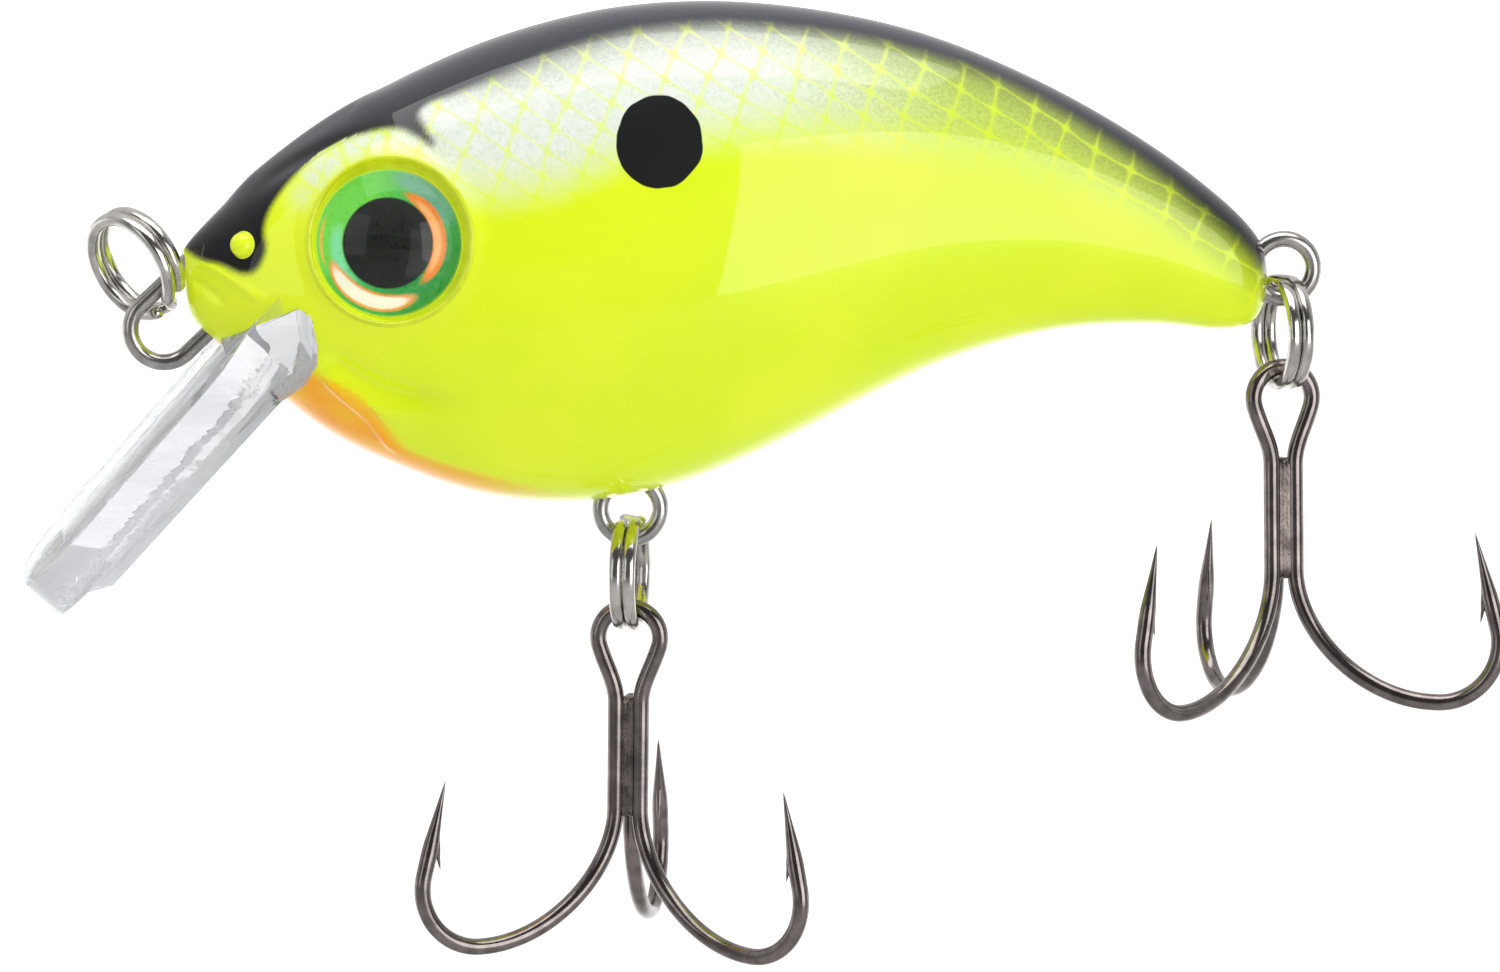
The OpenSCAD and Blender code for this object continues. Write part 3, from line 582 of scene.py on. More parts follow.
def paint_masks(grid):
    x, z = grid[..., 0], grid[..., 2]
    signed = signed_distance(grid, BACK_EDGE, [(63.0, 3.0), (63.0, 30.0), (-2.0, 30.0), (-2.0, 4.5)])
    soft = 0.3 + 0.55 * smoothstep(14, 22, x)
    back = smoothstep(-1.0, 1.0, signed / soft)
    haze = smoothstep(-3.4, 0.6, signed / soft) * smoothstep(12, 20, x) * 0.55

    low = np.interp(x, [p[0] for p in PEARL_EDGE], [p[1] for p in PEARL_EDGE])
    pearl = smoothstep(-1.5, 2.6, z - low) * smoothstep(10.5, 14, x) * (1 - smoothstep(57, 62, x))
    local = to_eye(grid)
    r = np.hypot(local[..., 0], local[..., 1])
    a = np.degrees(np.arctan2(local[..., 1], local[..., 0]))
    brow = np.exp(-((r - 5.6) / 0.8) ** 2) * smoothstep(20, 60, a) * (1 - smoothstep(140, 172, a))
    gap = np.abs((a - 46 + 180) % 27 - 13.5)
    brow *= 0.35 + 0.65 * smoothstep(1.0, 3.4, gap)
    pearl = np.maximum(pearl, 0.85 * brow)

    signed = signed_distance(grid, THROAT_EDGE, [(26.0, -20.0), (0.0, -20.0), (0.0, -0.5)])
    throat = smoothstep(-0.5, 0.6, signed) * (1 - smoothstep(13.5, 25, x))

    dusk = smoothstep(30, 45, x)
    return back, pearl, throat, dusk, haze


back, pearl, throat, dusk, haze = paint_masks(grid)


# --- Body shells ---
# Steps of the scale net in the side view, and the place and half size of the flank dot
SCALE_A = (1.9, -1.17)
SCALE_B = (-0.5, -1.25)
DOT_CENTRE = (26.75, 11.12)
DOT_HALF_SIZE = (2.36, 2.5)


def centred(g, value, amount):
    """Moves a 0-1 value to lie round 0 and scales it."""
    return g.times(g.minus(value, 0.5), amount)


def products(g, a, b, c, d):
    """a times b plus c times d."""
    return g.plus(g.times(a, b), g.times(c, d))


def cell_distance(g, u):
    """0 in the middle of a cell, rising steeply to 1 at its edge."""
    half = g.math("ABSOLUTE", g.minus(g.math("FRACT", u), 0.5))
    return g.math("POWER", g.times(half, 2.0), 5.0)


def body_material():
    g = Graph("body_paint")
    p = g.place()
    x, _, z = g.xyz(p)
    back, pearl, throat = g.channels("masks")
    dusk, haze, _ = g.channels("tones")

    # scale net: skewed lattice of rounded cells, slightly wavy
    sx = g.plus(x, centred(g, g.noise(p, 0.16, 1.0), 1.6))
    sz = g.plus(z, centred(g, g.noise(p, 0.5, 2.0), 0.35))
    (ax, az), (bx, bz) = SCALE_A, SCALE_B
    det = ax * bz - az * bx
    ua = products(g, sx, bz / det, sz, -bx / det)
    ub = products(g, sx, -az / det, sz, ax / det)
    cell = g.ramp(g.plus(cell_distance(g, ua), cell_distance(g, ub)), 1.15, 0.3)

    # colours
    green = g.mottle(p, 0.12, 2.0, srgb(222, 246, 20), srgb(232, 250, 34))
    flake = g.noise(p, 5.0, 5.0, 0.7)
    bright = g.mix(g.ramp(flake, 0.35, 0.65), srgb(214, 222, 214), srgb(240, 244, 240))
    dull = g.mix(g.ramp(flake, 0.35, 0.65), srgb(176, 200, 92), srgb(198, 218, 110))
    scale = g.mix(dusk, bright, dull)
    amount = g.times(pearl, g.plus(g.times(cell, 0.56), 0.38))
    colour = g.mix(amount, green, scale)
    pale = g.mottle(p, 0.4, 2.0, srgb(255, 168, 6), srgb(255, 188, 22))
    colour = g.mix(throat, colour, pale)
    # painted highlight: the black is mixed paler where it faces up, standing in for the top light's reflection
    dark = g.mottle(p, 1.5, 4.0, (0.0035, 0.0035, 0.0045, 1), (0.007, 0.007, 0.009, 1))
    facing = g.xyz(g.new("ShaderNodeNewGeometry").outputs["Normal"])
    dark = g.mix(g.ramp(facing[2], 0.45, 0.95), dark, (0.036, 0.035, 0.05, 1))
    veil = g.times(haze, g.plus(g.times(cell, 0.7), 0.3))
    speck = centred(g, g.noise(p, 9.0, 4.0, 0.8), 0.9)
    sprayed = g.times(g.times(back, g.minus(1.0, back)), 4.0)
    edge = g.plus(back, g.times(speck, sprayed), clamp=True)
    colour = g.mix(veil, colour, srgb(70, 78, 30))
    colour = g.mix(edge, colour, dark)

    # flank dot
    wobble = centred(g, g.noise(p, 0.7, 1.0), 0.12)
    dx, dz = (g.math("DIVIDE", g.minus(v, c), h) for v, c, h in zip((x, z), DOT_CENTRE, DOT_HALF_SIZE))
    radius = g.math("SQRT", products(g, dx, dx, dz, dz))
    dot = g.ramp(g.plus(radius, wobble), 1.015, 0.985)
    colour = g.mix(dot, colour, (0.008, 0.008, 0.009, 1))

    crinkle = g.noise(p, 2.6, 6.0, 0.62)
    rough = g.plus(0.34, g.times(flake, 0.12))
    # Painted glow: the paint emits its own colour at strength 0.3, a fill light painted into all of it, black, pearl
    # and orange too
    return g.surface(g.principled(
        Base_Color=colour, Roughness=rough, Metallic=0.0, Coat_Weight=1.0, Coat_Roughness=0.02, Coat_IOR=1.46,
        Specular_IOR_Level=0.2, Emission_Color=colour, Emission_Strength=0.3,
        Normal=g.bump(crinkle, g.times(pearl, 0.16), 0.12)))


BODY_PAINT = body_material()


def shell(name, node, side):
    """One half of the body. side is 1 for the left half as built, -1 for its mirror image."""
    rows, cols = grid.shape[:2]
    points = grid.reshape(-1, 3).copy()
    local = to_eye(points)
    r = np.hypot(local[:, 0], local[:, 1])
    facing = (local[:, 2] > -0.6) & (points[:, 1] < -1)
    cut = facing & (r < CUT_R)
    index = np.arange(rows * cols).reshape(rows, cols)
    a, b, c, d = (index[:-1, :-1], index[1:, :-1], index[1:, 1:], index[:-1, 1:])
    quads = np.stack([a, b, c, d], -1).reshape(-1, 4)
    keep = ~cut[quads].all(1)
    quads = quads[keep]
    # points of the cut faces go out to the socket's edge
    mixed = np.unique(quads[cut[quads].any(1)])
    mixed = mixed[cut[mixed]]
    n_local = normal.reshape(-1, 3)[mixed] @ eye_turn
    target = local[mixed, :2] * (CUT_R / r[mixed])[:, None]
    step = target - local[mixed, :2]
    moved = local[mixed].copy()
    moved[:, :2] = target
    moved[:, 2] -= (n_local[:, :2] * step).sum(1) / np.maximum(n_local[:, 2], 0.3)
    points[mixed] = from_eye(moved)
    used = np.unique(quads)
    remap = -np.ones(len(points), int)
    remap[used] = np.arange(len(used))
    quads = remap[quads]
    points = points[used] * [1, side, 1]
    if side < 0:
        quads = quads[:, ::-1]
    obj = make_object(name, points, quads, BODY_PAINT, "body", [node])
    for layer, channels in (("masks", (back, pearl, throat)), ("tones", (dusk, haze, 0 * haze))):
        point_colours(obj, layer, np.stack(channels, -1).reshape(-1, 3)[used])
    return obj


# Side outline of the lip's root, which shows through a window in each cheek: (x, z)
ROOT_SIDE = [
    (3.1, -0.4), (7.2, 1.7), (7.9, 1.3), (8.25, -0.2), (8.25, -1.4), (7.6, -2.5), (6.4, -3.4), (4, -3.2),
]


def cut_window(obj):
    """Cuts the root's outline out of a skin."""
    bm = bmesh.new()
    bm.from_mesh(obj.data)
    xs, zs = [p[0] for p in ROOT_SIDE], [p[1] for p in ROOT_SIDE]
    margin = 0.6
    outline = [(x * MM, z * MM) for x, z in ROOT_SIDE]

    def near(f):
        c = f.calc_center_median() / MM
        return min(xs) - margin < c.x < max(xs) + margin and min(zs) - margin < c.z < max(zs) + margin

    for (x0, z0), (x1, z1) in zip(outline, outline[1:] + outline[:1]):
        faces = [f for f in bm.faces if near(f)]
        geom = list({v for f in faces for v in f.verts}) + list({e for f in faces for e in f.edges}) + faces
        bmesh.ops.bisect_plane(bm, geom=geom, dist=1e-7, plane_co=(x0, 0, z0), plane_no=(z1 - z0, 0, x0 - x1))
    faces = [f for f in bm.faces if near(f)]
    centres = np.array([f.calc_center_median() for f in faces])
    hit = inside(centres[:, 0], centres[:, 2], outline)
    bmesh.ops.delete(bm, geom=[f for f, h in zip(faces, hit) if h], context="FACES")
    bm.to_mesh(obj.data)
    bm.free()


cut_window(shell("left_body_skin", "left_body_shell", 1))
cut_window(shell("right_body_skin", "right_body_shell", -1))


def socket_heights(radius, count):
    """Height of the skin above the socket's floor at points on a circle round the eye's axis."""
    local = to_eye(grid.reshape(-1, 3))
    ok = (local[:, 2] > -0.6) & (grid.reshape(-1, 3)[:, 1] < -1)
    local = local[ok]
    turn = normal.reshape(-1, 3)[ok] @ eye_turn
    phi = circle_angles(count)
    heights = []
    for f in phi:
        p = radius * np.array([math.cos(f), math.sin(f)])
        gap = np.hypot(local[:, 0] - p[0], local[:, 1] - p[1])
        i = np.argsort(gap)[:4]
        h = local[i, 2] - ((p - local[i, :2]) * turn[i, :2]).sum(1) / np.maximum(turn[i, 2], 0.3)
        heights.append(np.average(h, weights=1 / (gap[i] + 0.02)))
    wave = np.fft.rfft(heights)
    wave[9:] = 0
    return phi, np.fft.irfft(wave, count)


def socket_material():
    g = Graph("socket_paint")
    p = g.place()
    colour = g.mottle(p, 0.8, 3.0, srgb(206, 222, 16), srgb(224, 238, 30))
    # Painted glow: the socket's paint emits its own colour at strength 0.25, a painted fill light
    return g.surface(g.principled(
        Base_Color=colour, Roughness=0.35, Coat_Weight=1.0, Coat_Roughness=0.04, Emission_Color=colour,
        Emission_Strength=0.25, Normal=g.bump(g.noise(p, 3.0, 4.0), 0.1, 0.1)))


SOCKET_PAINT = socket_material()


def socket(name, side):
    """Rolled rim, wall and floor of the eye socket."""
    phi, rim = socket_heights(SOCKET_R + 0.1, 160)
    count = len(phi)
    circle = np.stack([np.cos(phi), np.sin(phi)], 1)
    rings = []
    bead = 0.16
    for a in np.radians([-30, 0, 25, 50, 75, 100, 125, 150, 180, 205]):
        r = SOCKET_R + 0.12 + bead * math.cos(a)
        rings.append(np.concatenate([circle * r, (rim - 0.04 + bead * math.sin(a))[:, None]], 1))
    # wall and the fillet at its foot, as (distance in from the wall, height)
    for inset, z in ((0.03, 0.5), (0.05, 0.25), (0.12, 0.07), (0.3, 0.015), (0.6, 0.01)):
        rings.append(np.concatenate([circle * (SOCKET_R - inset), np.full((count, 1), z)], 1))
    verts = from_eye(np.concatenate(rings)) * [1, side, 1]
    faces = ring_faces(len(rings), count, flip=side > 0)
    floor = list(range((len(rings) - 1) * count, len(rings) * count))
    faces.append(floor if side > 0 else floor[::-1])
    make_object(name, verts, faces, SOCKET_PAINT, "body")


def lip_slot():
    """Walls of the slot across the head that holds the lip's root."""
    outline = []
    for (x0, z0), (x1, z1) in zip(ROOT_SIDE, ROOT_SIDE[1:] + ROOT_SIDE[:1]):
        for s in np.arange(8) / 8:
            outline.append((x0 + (x1 - x0) * s, z0 + (z1 - z0) * s))
    outline = np.array(outline)
    centre = outline.mean(0)
    outline = centre + (outline - centre) * 1.008
    reach = skin_y(outline[:, 0], outline[:, 1]) - 0.03
    across = np.linspace(-1, 1, 13)
    n, k = len(outline), len(across)
    verts = [(x, y * max(r, 0), z) for (x, z), r in zip(outline, reach) for y in across]
    faces = []
    for i in range(n):
        j = (i + 1) % n
        if min(reach[i], reach[j]) > 0.15:
            faces += [[i * k + s, i * k + s + 1, j * k + s + 1, j * k + s] for s in range(k - 1)]
    make_object("lip_slot_walls", verts, faces, SOCKET_PAINT, "body", smooth=False)


lip_slot()
socket("left_eye_socket", 1)
socket("right_eye_socket", -1)


NOSTRIL_X, NOSTRIL_Z = 4.26, 5.0
NOSTRIL_R = 0.69


def nostril(name, side):
    """Small moulded bead with a fillet round its foot."""
    flat_grid = grid.reshape(-1, 3)
    gap = np.hypot(flat_grid[:, 0] - NOSTRIL_X, flat_grid[:, 2] - NOSTRIL_Z)
    i = int(np.argmin(gap + (flat_grid[:, 1] > -0.5) * 9))
    n = normal.reshape(-1, 3)[i]
    r = NOSTRIL_R
    profile = [(0, r * 0.92)] + [(r * math.sin(a), r * 0.92 * math.cos(a)) for a in np.radians(np.arange(8, 96, 8))]
    profile += [(r * 1.03, -0.04), (r * 1.12, -0.1), (r * 1.3, -0.2)]
    verts, faces = lathe(profile, 40)
    turn = np.array(Vector(n).to_track_quat("Z", "X").to_matrix())
    verts = (verts @ turn.T + flat_grid[i] + n * 0.06) * [1, side, 1]
    faces = [f[::-1] for f in faces] if side > 0 else faces
    obj = make_object(name, verts, faces, BODY_PAINT, "body")
    for layer in ("masks", "tones"):
        point_colours(obj, layer, np.zeros(len(verts)))


nostril("left_nostril_bead", 1)
nostril("right_nostril_bead", -1)

# --- Eyes ---
FOIL_R = 4.05
PUPIL_R = 2.34
# The eye sits a little forward and low in its socket
EYE_SHIFT = np.array([-0.2, -0.14])


def foil_material():
    g = Graph("eye_print")
    p = g.place()
    colour = g.attribute("print")
    sparkle = g.noise(p, 3.0, 5.0, 0.7)
    colour = g.mix(g.ramp(sparkle, 0.3, 0.8, 0.0, 0.12), colour, (0.5, 0.72, 0.42, 1))
    pupil = g.channels("pupil")[0]
    colour = g.mix(pupil, colour, (0.004, 0.004, 0.004, 1))
    # Painted glow: the print emits its own colour at strength 0.35, a painted fill light
    return g.surface(g.principled(
        Base_Color=colour, Roughness=g.ramp(sparkle, 0.3, 0.7, 0.25, 0.4),
        Metallic=g.times(g.minus(1.0, pupil), 0.2),
        Emission_Color=colour, Emission_Strength=0.35, Normal=g.bump(sparkle, 0.08, 0.05)))


EYE_PRINT = foil_material()


def arc_mask(r, a, r0, r1, a0, a1, soft, soft_a):
    """1 between two radii and two angles; the band thins towards its ends."""
    middle, half = (a0 + a1) / 2, (a1 - a0) / 2
    off = np.abs((a - middle + 180) % 360 - 180)
    ends = 1 - smoothstep(half - soft_a, half + soft_a, off)
    thin = np.clip(1 - (off / (half + soft_a)) ** 3, 0.05, 1)
    mid_r, half_r = (r0 + r1) / 2, (r1 - r0) / 2 * thin
    return ends * (1 - smoothstep(half_r - soft, half_r + soft, np.abs(r - mid_r)))


def blend_colour(base, colour, mask):
    return base + (np.array(colour[:3]) - base) * mask[:, None]


# Printed arcs: display colour, (inner radius, outer radius, start, end, edge softness, end softness), strength
EYE_ARCS = [
    ((120, 220, 170), (2.4, 3.0, 165, 235, 0.2, 14), 0.8),
    ((120, 170, 160), (2.9, 4.0, 20, 85, 0.2, 12), 0.75),
    ((246, 128, 20), (2.28, 3.06, -46, 70, 0.08, 10), 1),
    ((255, 176, 104), (2.38, 2.8, -34, 56, 0.1, 10), 1),
    ((246, 140, 14), (2.6, 3.64, 200, 298, 0.07, 8), 1),
    ((255, 246, 222), (2.74, 3.48, 206, 290, 0.1, 8), 1),
    ((240, 170, 40), (3.5, 3.66, 160, 200, 0.05, 6), 1),
]


def eye_foil(name, node, side):
    radii = np.concatenate([np.linspace(0.05, FOIL_R, 90), [FOIL_R + 0.02]])
    a = circle_angles(220)
    rr, aa = np.meshgrid(radii, a, indexing="ij")
    height = 0.12 + 0.05 * (1 - (rr / FOIL_R) ** 2)
    height[-1] = 0.02
    local = np.stack([rr * np.cos(aa) + EYE_SHIFT[0], rr * np.sin(aa) + EYE_SHIFT[1], height], -1).reshape(-1, 3)
    verts = from_eye(local) * [1, side, 1]
    n = len(a)
    faces = ring_faces(len(radii), n, flip=side < 0)
    centre = list(range(n))
    faces.append(centre if side > 0 else centre[::-1])
    obj = make_object(name, verts, faces, EYE_PRINT, "body", [node])
    r, deg = rr.ravel(), np.degrees(aa).ravel()
    up = np.sin(np.radians(deg))
    right = np.cos(np.radians(deg))
    colour = np.repeat(np.array([srgb(30, 168, 70)[:3]]), len(r), 0)
    colour = blend_colour(colour, srgb(104, 208, 62), smoothstep(-0.1, 0.9, up * 0.5 - right * 0.85))
    colour = blend_colour(colour, srgb(4, 142, 52), smoothstep(0.3, 0.95, right * 0.75 - up * 0.65))
    for tone, arc, strength in EYE_ARCS:
        colour = blend_colour(colour, srgb(*tone), arc_mask(r, deg, *arc) * strength)
    colour = blend_colour(colour, srgb(222, 232, 24), smoothstep(3.8, 3.95, r))
    point_colours(obj, "print", np.clip(colour, 0, 1))
    point_colours(obj, "pupil", 1 - smoothstep(PUPIL_R - 0.05, PUPIL_R + 0.05, r))


def eye_dome(name, node, side):
    foot, base, rise = 0.19, 0.35, 1.5
    ball = (FOIL_R**2 + rise**2) / (2 * rise)
    top_angle = math.asin(FOIL_R / ball)
    profile = [(0, 0.2), (FOIL_R - 0.12, 0.2), (FOIL_R - 0.02, 0.25), (FOIL_R, 0.34), (FOIL_R, foot + base)]
    top = foot + base + rise
    angles = np.linspace(top_angle * 0.985, 0, 40)
    cap = [(ball * math.sin(t), top - ball + ball * math.cos(t)) for t in angles]
    verts, faces = lathe(profile + cap[:-1] + [(0, top)], 128)
    verts[:, :2] += EYE_SHIFT
    verts = from_eye(verts) * [1, side, 1]
    if side < 0:
        faces = [f[::-1] for f in faces]
    make_object(name, verts, faces, CLEAR_DOME, "body", [node])


eye_foil("left_eye_print", "left_eye_foil", 1)
eye_foil("right_eye_print", "right_eye_foil", -1)
eye_dome("left_eye_lens", "left_eye_dome", 1)
eye_dome("right_eye_lens", "right_eye_dome", -1)

# --- Diving lip ---
def moulded_copy(node, name, material, body, width_mm):
    """Copy of a CAD node with its edges rounded."""
    source = frame["nodes"][node]
    mesh = bpy.data.meshes.new(name)
    bm = bmesh.new()
    bm.from_mesh(source.data)
    bmesh.ops.remove_doubles(bm, verts=bm.verts, dist=1e-6)
    bmesh.ops.dissolve_limit(bm, angle_limit=math.radians(0.6), verts=bm.verts, edges=bm.edges)
    sharp = [e for e in bm.edges if len(e.link_faces) == 2 and e.calc_face_angle(0) > math.radians(25)]
    bmesh.ops.bevel(bm, geom=sharp, offset=width_mm * MM, segments=3, profile=0.5, affect="EDGES", clamp_overlap=True)
    bm.to_mesh(mesh)
    bm.free()
    mesh.polygons.foreach_set("use_smooth", [True] * len(mesh.polygons))
    mesh.set_sharp_from_angle(angle=math.radians(35))
    attach(name, mesh, material, body, [node])


moulded_copy("diving_lip", "diving_lip_moulding", CLEAR_LIP, "body", 0.32)

# --- Hangers ---
HANGER_WIRE_R = 0.46
HANGER_EYE_R = 1.2
STEM_SLACK = 0.02
ANCHOR_R = 1.1
LINE_TIE_R = 1.37
LINE_TIE_LEG = 5
LINE_TIE_ANGLE = 44
BELLY_STEM, BELLY_STEM_ANGLE = 5.6, 90
TAIL_STEM, TAIL_STEM_ANGLE = 7, 178


def hanger(name, node, centre, stem, degrees):
    """Figure-eight wire in the XZ plane: outer eye, two stems and the anchor eye."""
    mean = HANGER_EYE_R + HANGER_WIRE_R
    a = circle_angles(120)
    eye = np.stack([mean * np.cos(a), 0 * a, mean * np.sin(a)], 1)
    anchor = np.stack([stem + ANCHOR_R * np.cos(a[::2]), 0 * a[::2], ANCHOR_R * np.sin(a[::2])], 1)
    parts = [sweep(loop, HANGER_WIRE_R, closed=True, up=Y) for loop in (eye, anchor)]
    for s in (-1, 1):
        z = s * (HANGER_WIRE_R + STEM_SLACK)
        line = [(mean, 0, z), ((mean + stem) / 2, 0, z), (stem - ANCHOR_R, 0, z)]
        parts.append(sweep(line, HANGER_WIRE_R - STEM_SLACK, up=Y))
    verts, faces = merge(parts)
    verts = verts @ rotation(Y, -degrees).T + centre
    make_object(name, verts, faces, STAINLESS, "body", [node])


def line_tie(name, node, centre):
    """Oblong loop of wire: half-round eye, two legs and a half-round end inside the head."""
    mean = LINE_TIE_R + HANGER_WIRE_R
    a = np.radians(np.arange(90, 271, 3))
    outer = np.stack([mean * np.cos(a), 0 * a, mean * np.sin(a)], 1)
    inner = outer * [-1, 1, -1] + [LINE_TIE_LEG, 0, 0]
    s = np.linspace(0, 1, 14)[1:-1, None]
    there, back_again = outer[-1] + s * (inner[0] - outer[-1]), inner[-1] + s * (outer[0] - inner[-1])
    path = np.concatenate([outer, there, inner, back_again])
    verts, faces = sweep(path, HANGER_WIRE_R, closed=True, up=Y)
    verts = verts @ rotation(Y, -LINE_TIE_ANGLE).T + centre
    make_object(name, verts, faces, STAINLESS, "body", [node])


line_tie("line_tie_loop", "line_tie_wire", LINE_TIE)
hanger("belly_hanger_loop", "belly_hook_hanger", BELLY_HANGER, BELLY_STEM, BELLY_STEM_ANGLE)
hanger("tail_hanger_loop", "tail_hook_hanger", TAIL_HANGER, TAIL_STEM, TAIL_STEM_ANGLE)

# --- Split rings ---
RING_R = 2.9
COIL_SIDE = 0.37
COIL_WIDTH, COIL_HEIGHT, COIL_POWER = 0.7, 0.725, 2.5
CROSSING = 26
# Turn that puts a hanging ring's crossing inside the hanger's eye
CROSSING_TOP = 180 - CROSSING / 2


def coil_section():
    """Rounded box outline of the ring's wire."""
    a = circle_angles(28)
    c, s = np.cos(a), np.sin(a)
    x = np.sign(c) * np.abs(c) ** (2 / COIL_POWER) * COIL_WIDTH / 2
    y = np.sign(s) * np.abs(s) ** (2 / COIL_POWER) * COIL_HEIGHT / 2
    return np.stack([x, y], 1)


def split_ring(name, node, turn, centre, body):
    """Two turns of wire about Z; the wire crosses over at angle 0."""
    a = np.concatenate([
        np.linspace(CROSSING + 4, 360, 90), np.linspace(360, 360 + CROSSING, 20)[1:],
        np.linspace(360 + CROSSING, 716, 90)[1:]])
    v = np.clip((a - 360) / CROSSING, 0, 1)
    z = COIL_SIDE * (2 * v * v * (3 - 2 * v) - 1)
    r = np.radians(a)
    path = np.stack([RING_R * np.cos(r), RING_R * np.sin(r), z], 1)
    scale = np.ones(len(a))
    scale[[0, -1]] = 0.8
    verts, faces = sweep(path, scale, profile=coil_section(), up=Z)
    verts = verts @ np.array(turn).T + centre
    make_object(name, verts, faces, NICKEL, body, [node])


def hanging_turn(yaw):
    return rotation(Z, yaw) @ rotation(Y, 90) @ rotation(Z, CROSSING_TOP)


split_ring("belly_ring_coil", "belly_split_ring", hanging_turn(BELLY_YAW), BELLY_RING, "belly_ring")
split_ring("tail_ring_coil", "tail_split_ring", hanging_turn(TAIL_YAW), TAIL_RING, "tail_ring")
NOSE_RING_CENTRE = np.array([-1.54, 0.5, 3.56])
NOSE_RING_YAW = -49.8
NOSE_RING_TILT = 21.3
NOSE_RING_SPIN = 300
nose_turn = rotation(Z, NOSE_RING_YAW) @ rotation(X, 90 + NOSE_RING_TILT) @ rotation(Z, NOSE_RING_SPIN)
split_ring("nose_ring_coil", "nose_split_ring", nose_turn, NOSE_RING_CENTRE, "nose_ring")

# --- Treble hooks ---
# Directions of the three hooks about the shank: the pair made of one wire, then the single one
LEFT_HOOK, RIGHT_HOOK, SINGLE_HOOK = 210, 330, 90
HOOK_R = 0.465
HOOK_EYE_R = 1.27
SHANK_R = 0.8
SHANK_Y = -SHANK_R / 2
EYE_MEAN_R = HOOK_EYE_R + HOOK_R
NECK_Z = -3.7
FLARE_Z = -9.6
BEND_Z = -17.0
BEND_X = 8.8
BEND_R = 3.4
POINT_LEAN = 13
POINT_LEN = 5.44
EYE_END = 198
HOOK_CONTACT = 0.58
HOOK_ROOM = 0.03
RING_INNER_R = 2.55
HOOK_DROP = math.sqrt(HOOK_EYE_R**2 - HOOK_CONTACT**2) - HOOK_ROOM


def hook_profile():
    """Centre line of one hook from its shank to its point, as (radius, height), and the wire's radius."""
    control = [(SHANK_R, FLARE_Z), (SHANK_R, FLARE_Z - 3.6), (4.6, BEND_Z), (BEND_X, BEND_Z)]
    flare = bezier(control, np.linspace(0, 1, 30))
    a = np.radians(np.linspace(-90, POINT_LEAN, 34)[1:])
    bend = np.stack([BEND_X + BEND_R * np.cos(a), BEND_Z + BEND_R + BEND_R * np.sin(a)], 1)
    s = np.concatenate([np.linspace(0.12, 1.3, 6), np.linspace(1.45, POINT_LEN, 30)])
    lean = math.radians(POINT_LEAN)
    point = bend[-1] + s[:, None] * np.array([-math.sin(lean), math.cos(lean)])
    width = np.interp(s, [0, 1.2, 1.9, 2.6, 3.84, 5.0, POINT_LEN], [HOOK_R, HOOK_R, 0.43, 0.345, 0.2, 0.075, 0.008])
    line = np.concatenate([flare, bend, point])
    return line, np.concatenate([np.full(len(flare) + len(bend), HOOK_R), width]), bend[-1]


def turned(line, degrees):
    """A line of (radius, height) points turned about the shank."""
    c, s = math.cos(math.radians(degrees)), math.sin(math.radians(degrees))
    return np.stack([line[:, 0] * c, line[:, 0] * s, line[:, 1]], 1)


def hook_line(degrees):
    line, width, _ = hook_profile()
    return turned(line, degrees), width


def barb(degrees):
    """Thin spur raised from the inner side of the point, its tip towards the bend."""
    _, _, start = hook_profile()
    lean = math.radians(POINT_LEAN)
    along = np.array([-math.sin(lean), math.cos(lean)])
    inward = np.array([-math.cos(lean), -math.sin(lean)])
    s = np.linspace(2.75, 0.5, 14)
    lift = np.interp(s, [0.5, 1.2, 2.0, 2.75], [0.86, 0.56, 0.3, 0.1])
    path = start + s[:, None] * along + lift[:, None] * inward
    width = np.interp(s, [0.5, 0.8, 1.6, 2.75], [0.01, 0.07, 0.17, 0.2])
    a = math.radians(degrees)
    return sweep(turned(path, degrees), width, sides=12, up=(math.sin(a), -math.cos(a), 0))


def treble_eye(side):
    a = np.radians(np.linspace(90, EYE_END, 40))
    arc = EYE_MEAN_R * np.stack([np.cos(a), np.sin(a)], 1)
    end = arc[-1]
    lead = np.array([-math.sin(a[-1]), math.cos(a[-1])])
    x = -SHANK_R * math.cos(math.radians(30))
    neck = bezier([end, end + 1.4 * lead, (x, NECK_Z + 1.1), (x, NECK_Z)], np.linspace(0, 1, 18))
    shank = np.stack([np.full(8, x), np.linspace(NECK_Z, FLARE_Z, 10)[1:-1]], 1)
    line = np.concatenate([arc[1:], neck[1:], shank])
    return np.stack([side * -line[:, 0], np.full(len(line), SHANK_Y), line[:, 1]], 1)


def braze():
    """Brazing metal between the three shanks, its ends drawn up along the wires."""
    top, bottom = -3.35, -10.1
    heights = np.linspace(top, bottom, 70)
    a = np.radians(np.arange(0, 360, 4))
    lobe = np.abs(np.cos(1.5 * (a - np.pi / 2)))
    rng = np.random.default_rng(5)
    grain = rng.normal(0, 0.006, (len(heights), len(a)))
    rows = []
    for z, g in zip(heights, grain):
        end = min(top - z, z - bottom)
        fill = math.sqrt(max(0.0, 1 - (1 - min(end / 0.75, 1)) ** 2))
        valley = 0.16 + 0.46 * fill
        r = valley + (0.84 - valley) * lobe ** 1.6 + g * fill
        rows.append(np.stack([r * np.cos(a), r * np.sin(a), np.full(len(a), z)], 1))
    n = len(a)
    faces = ring_faces(len(rows), n)
    faces += [list(range(n)), list(range((len(rows) - 1) * n, len(rows) * n))[::-1]]
    return np.concatenate(rows), faces


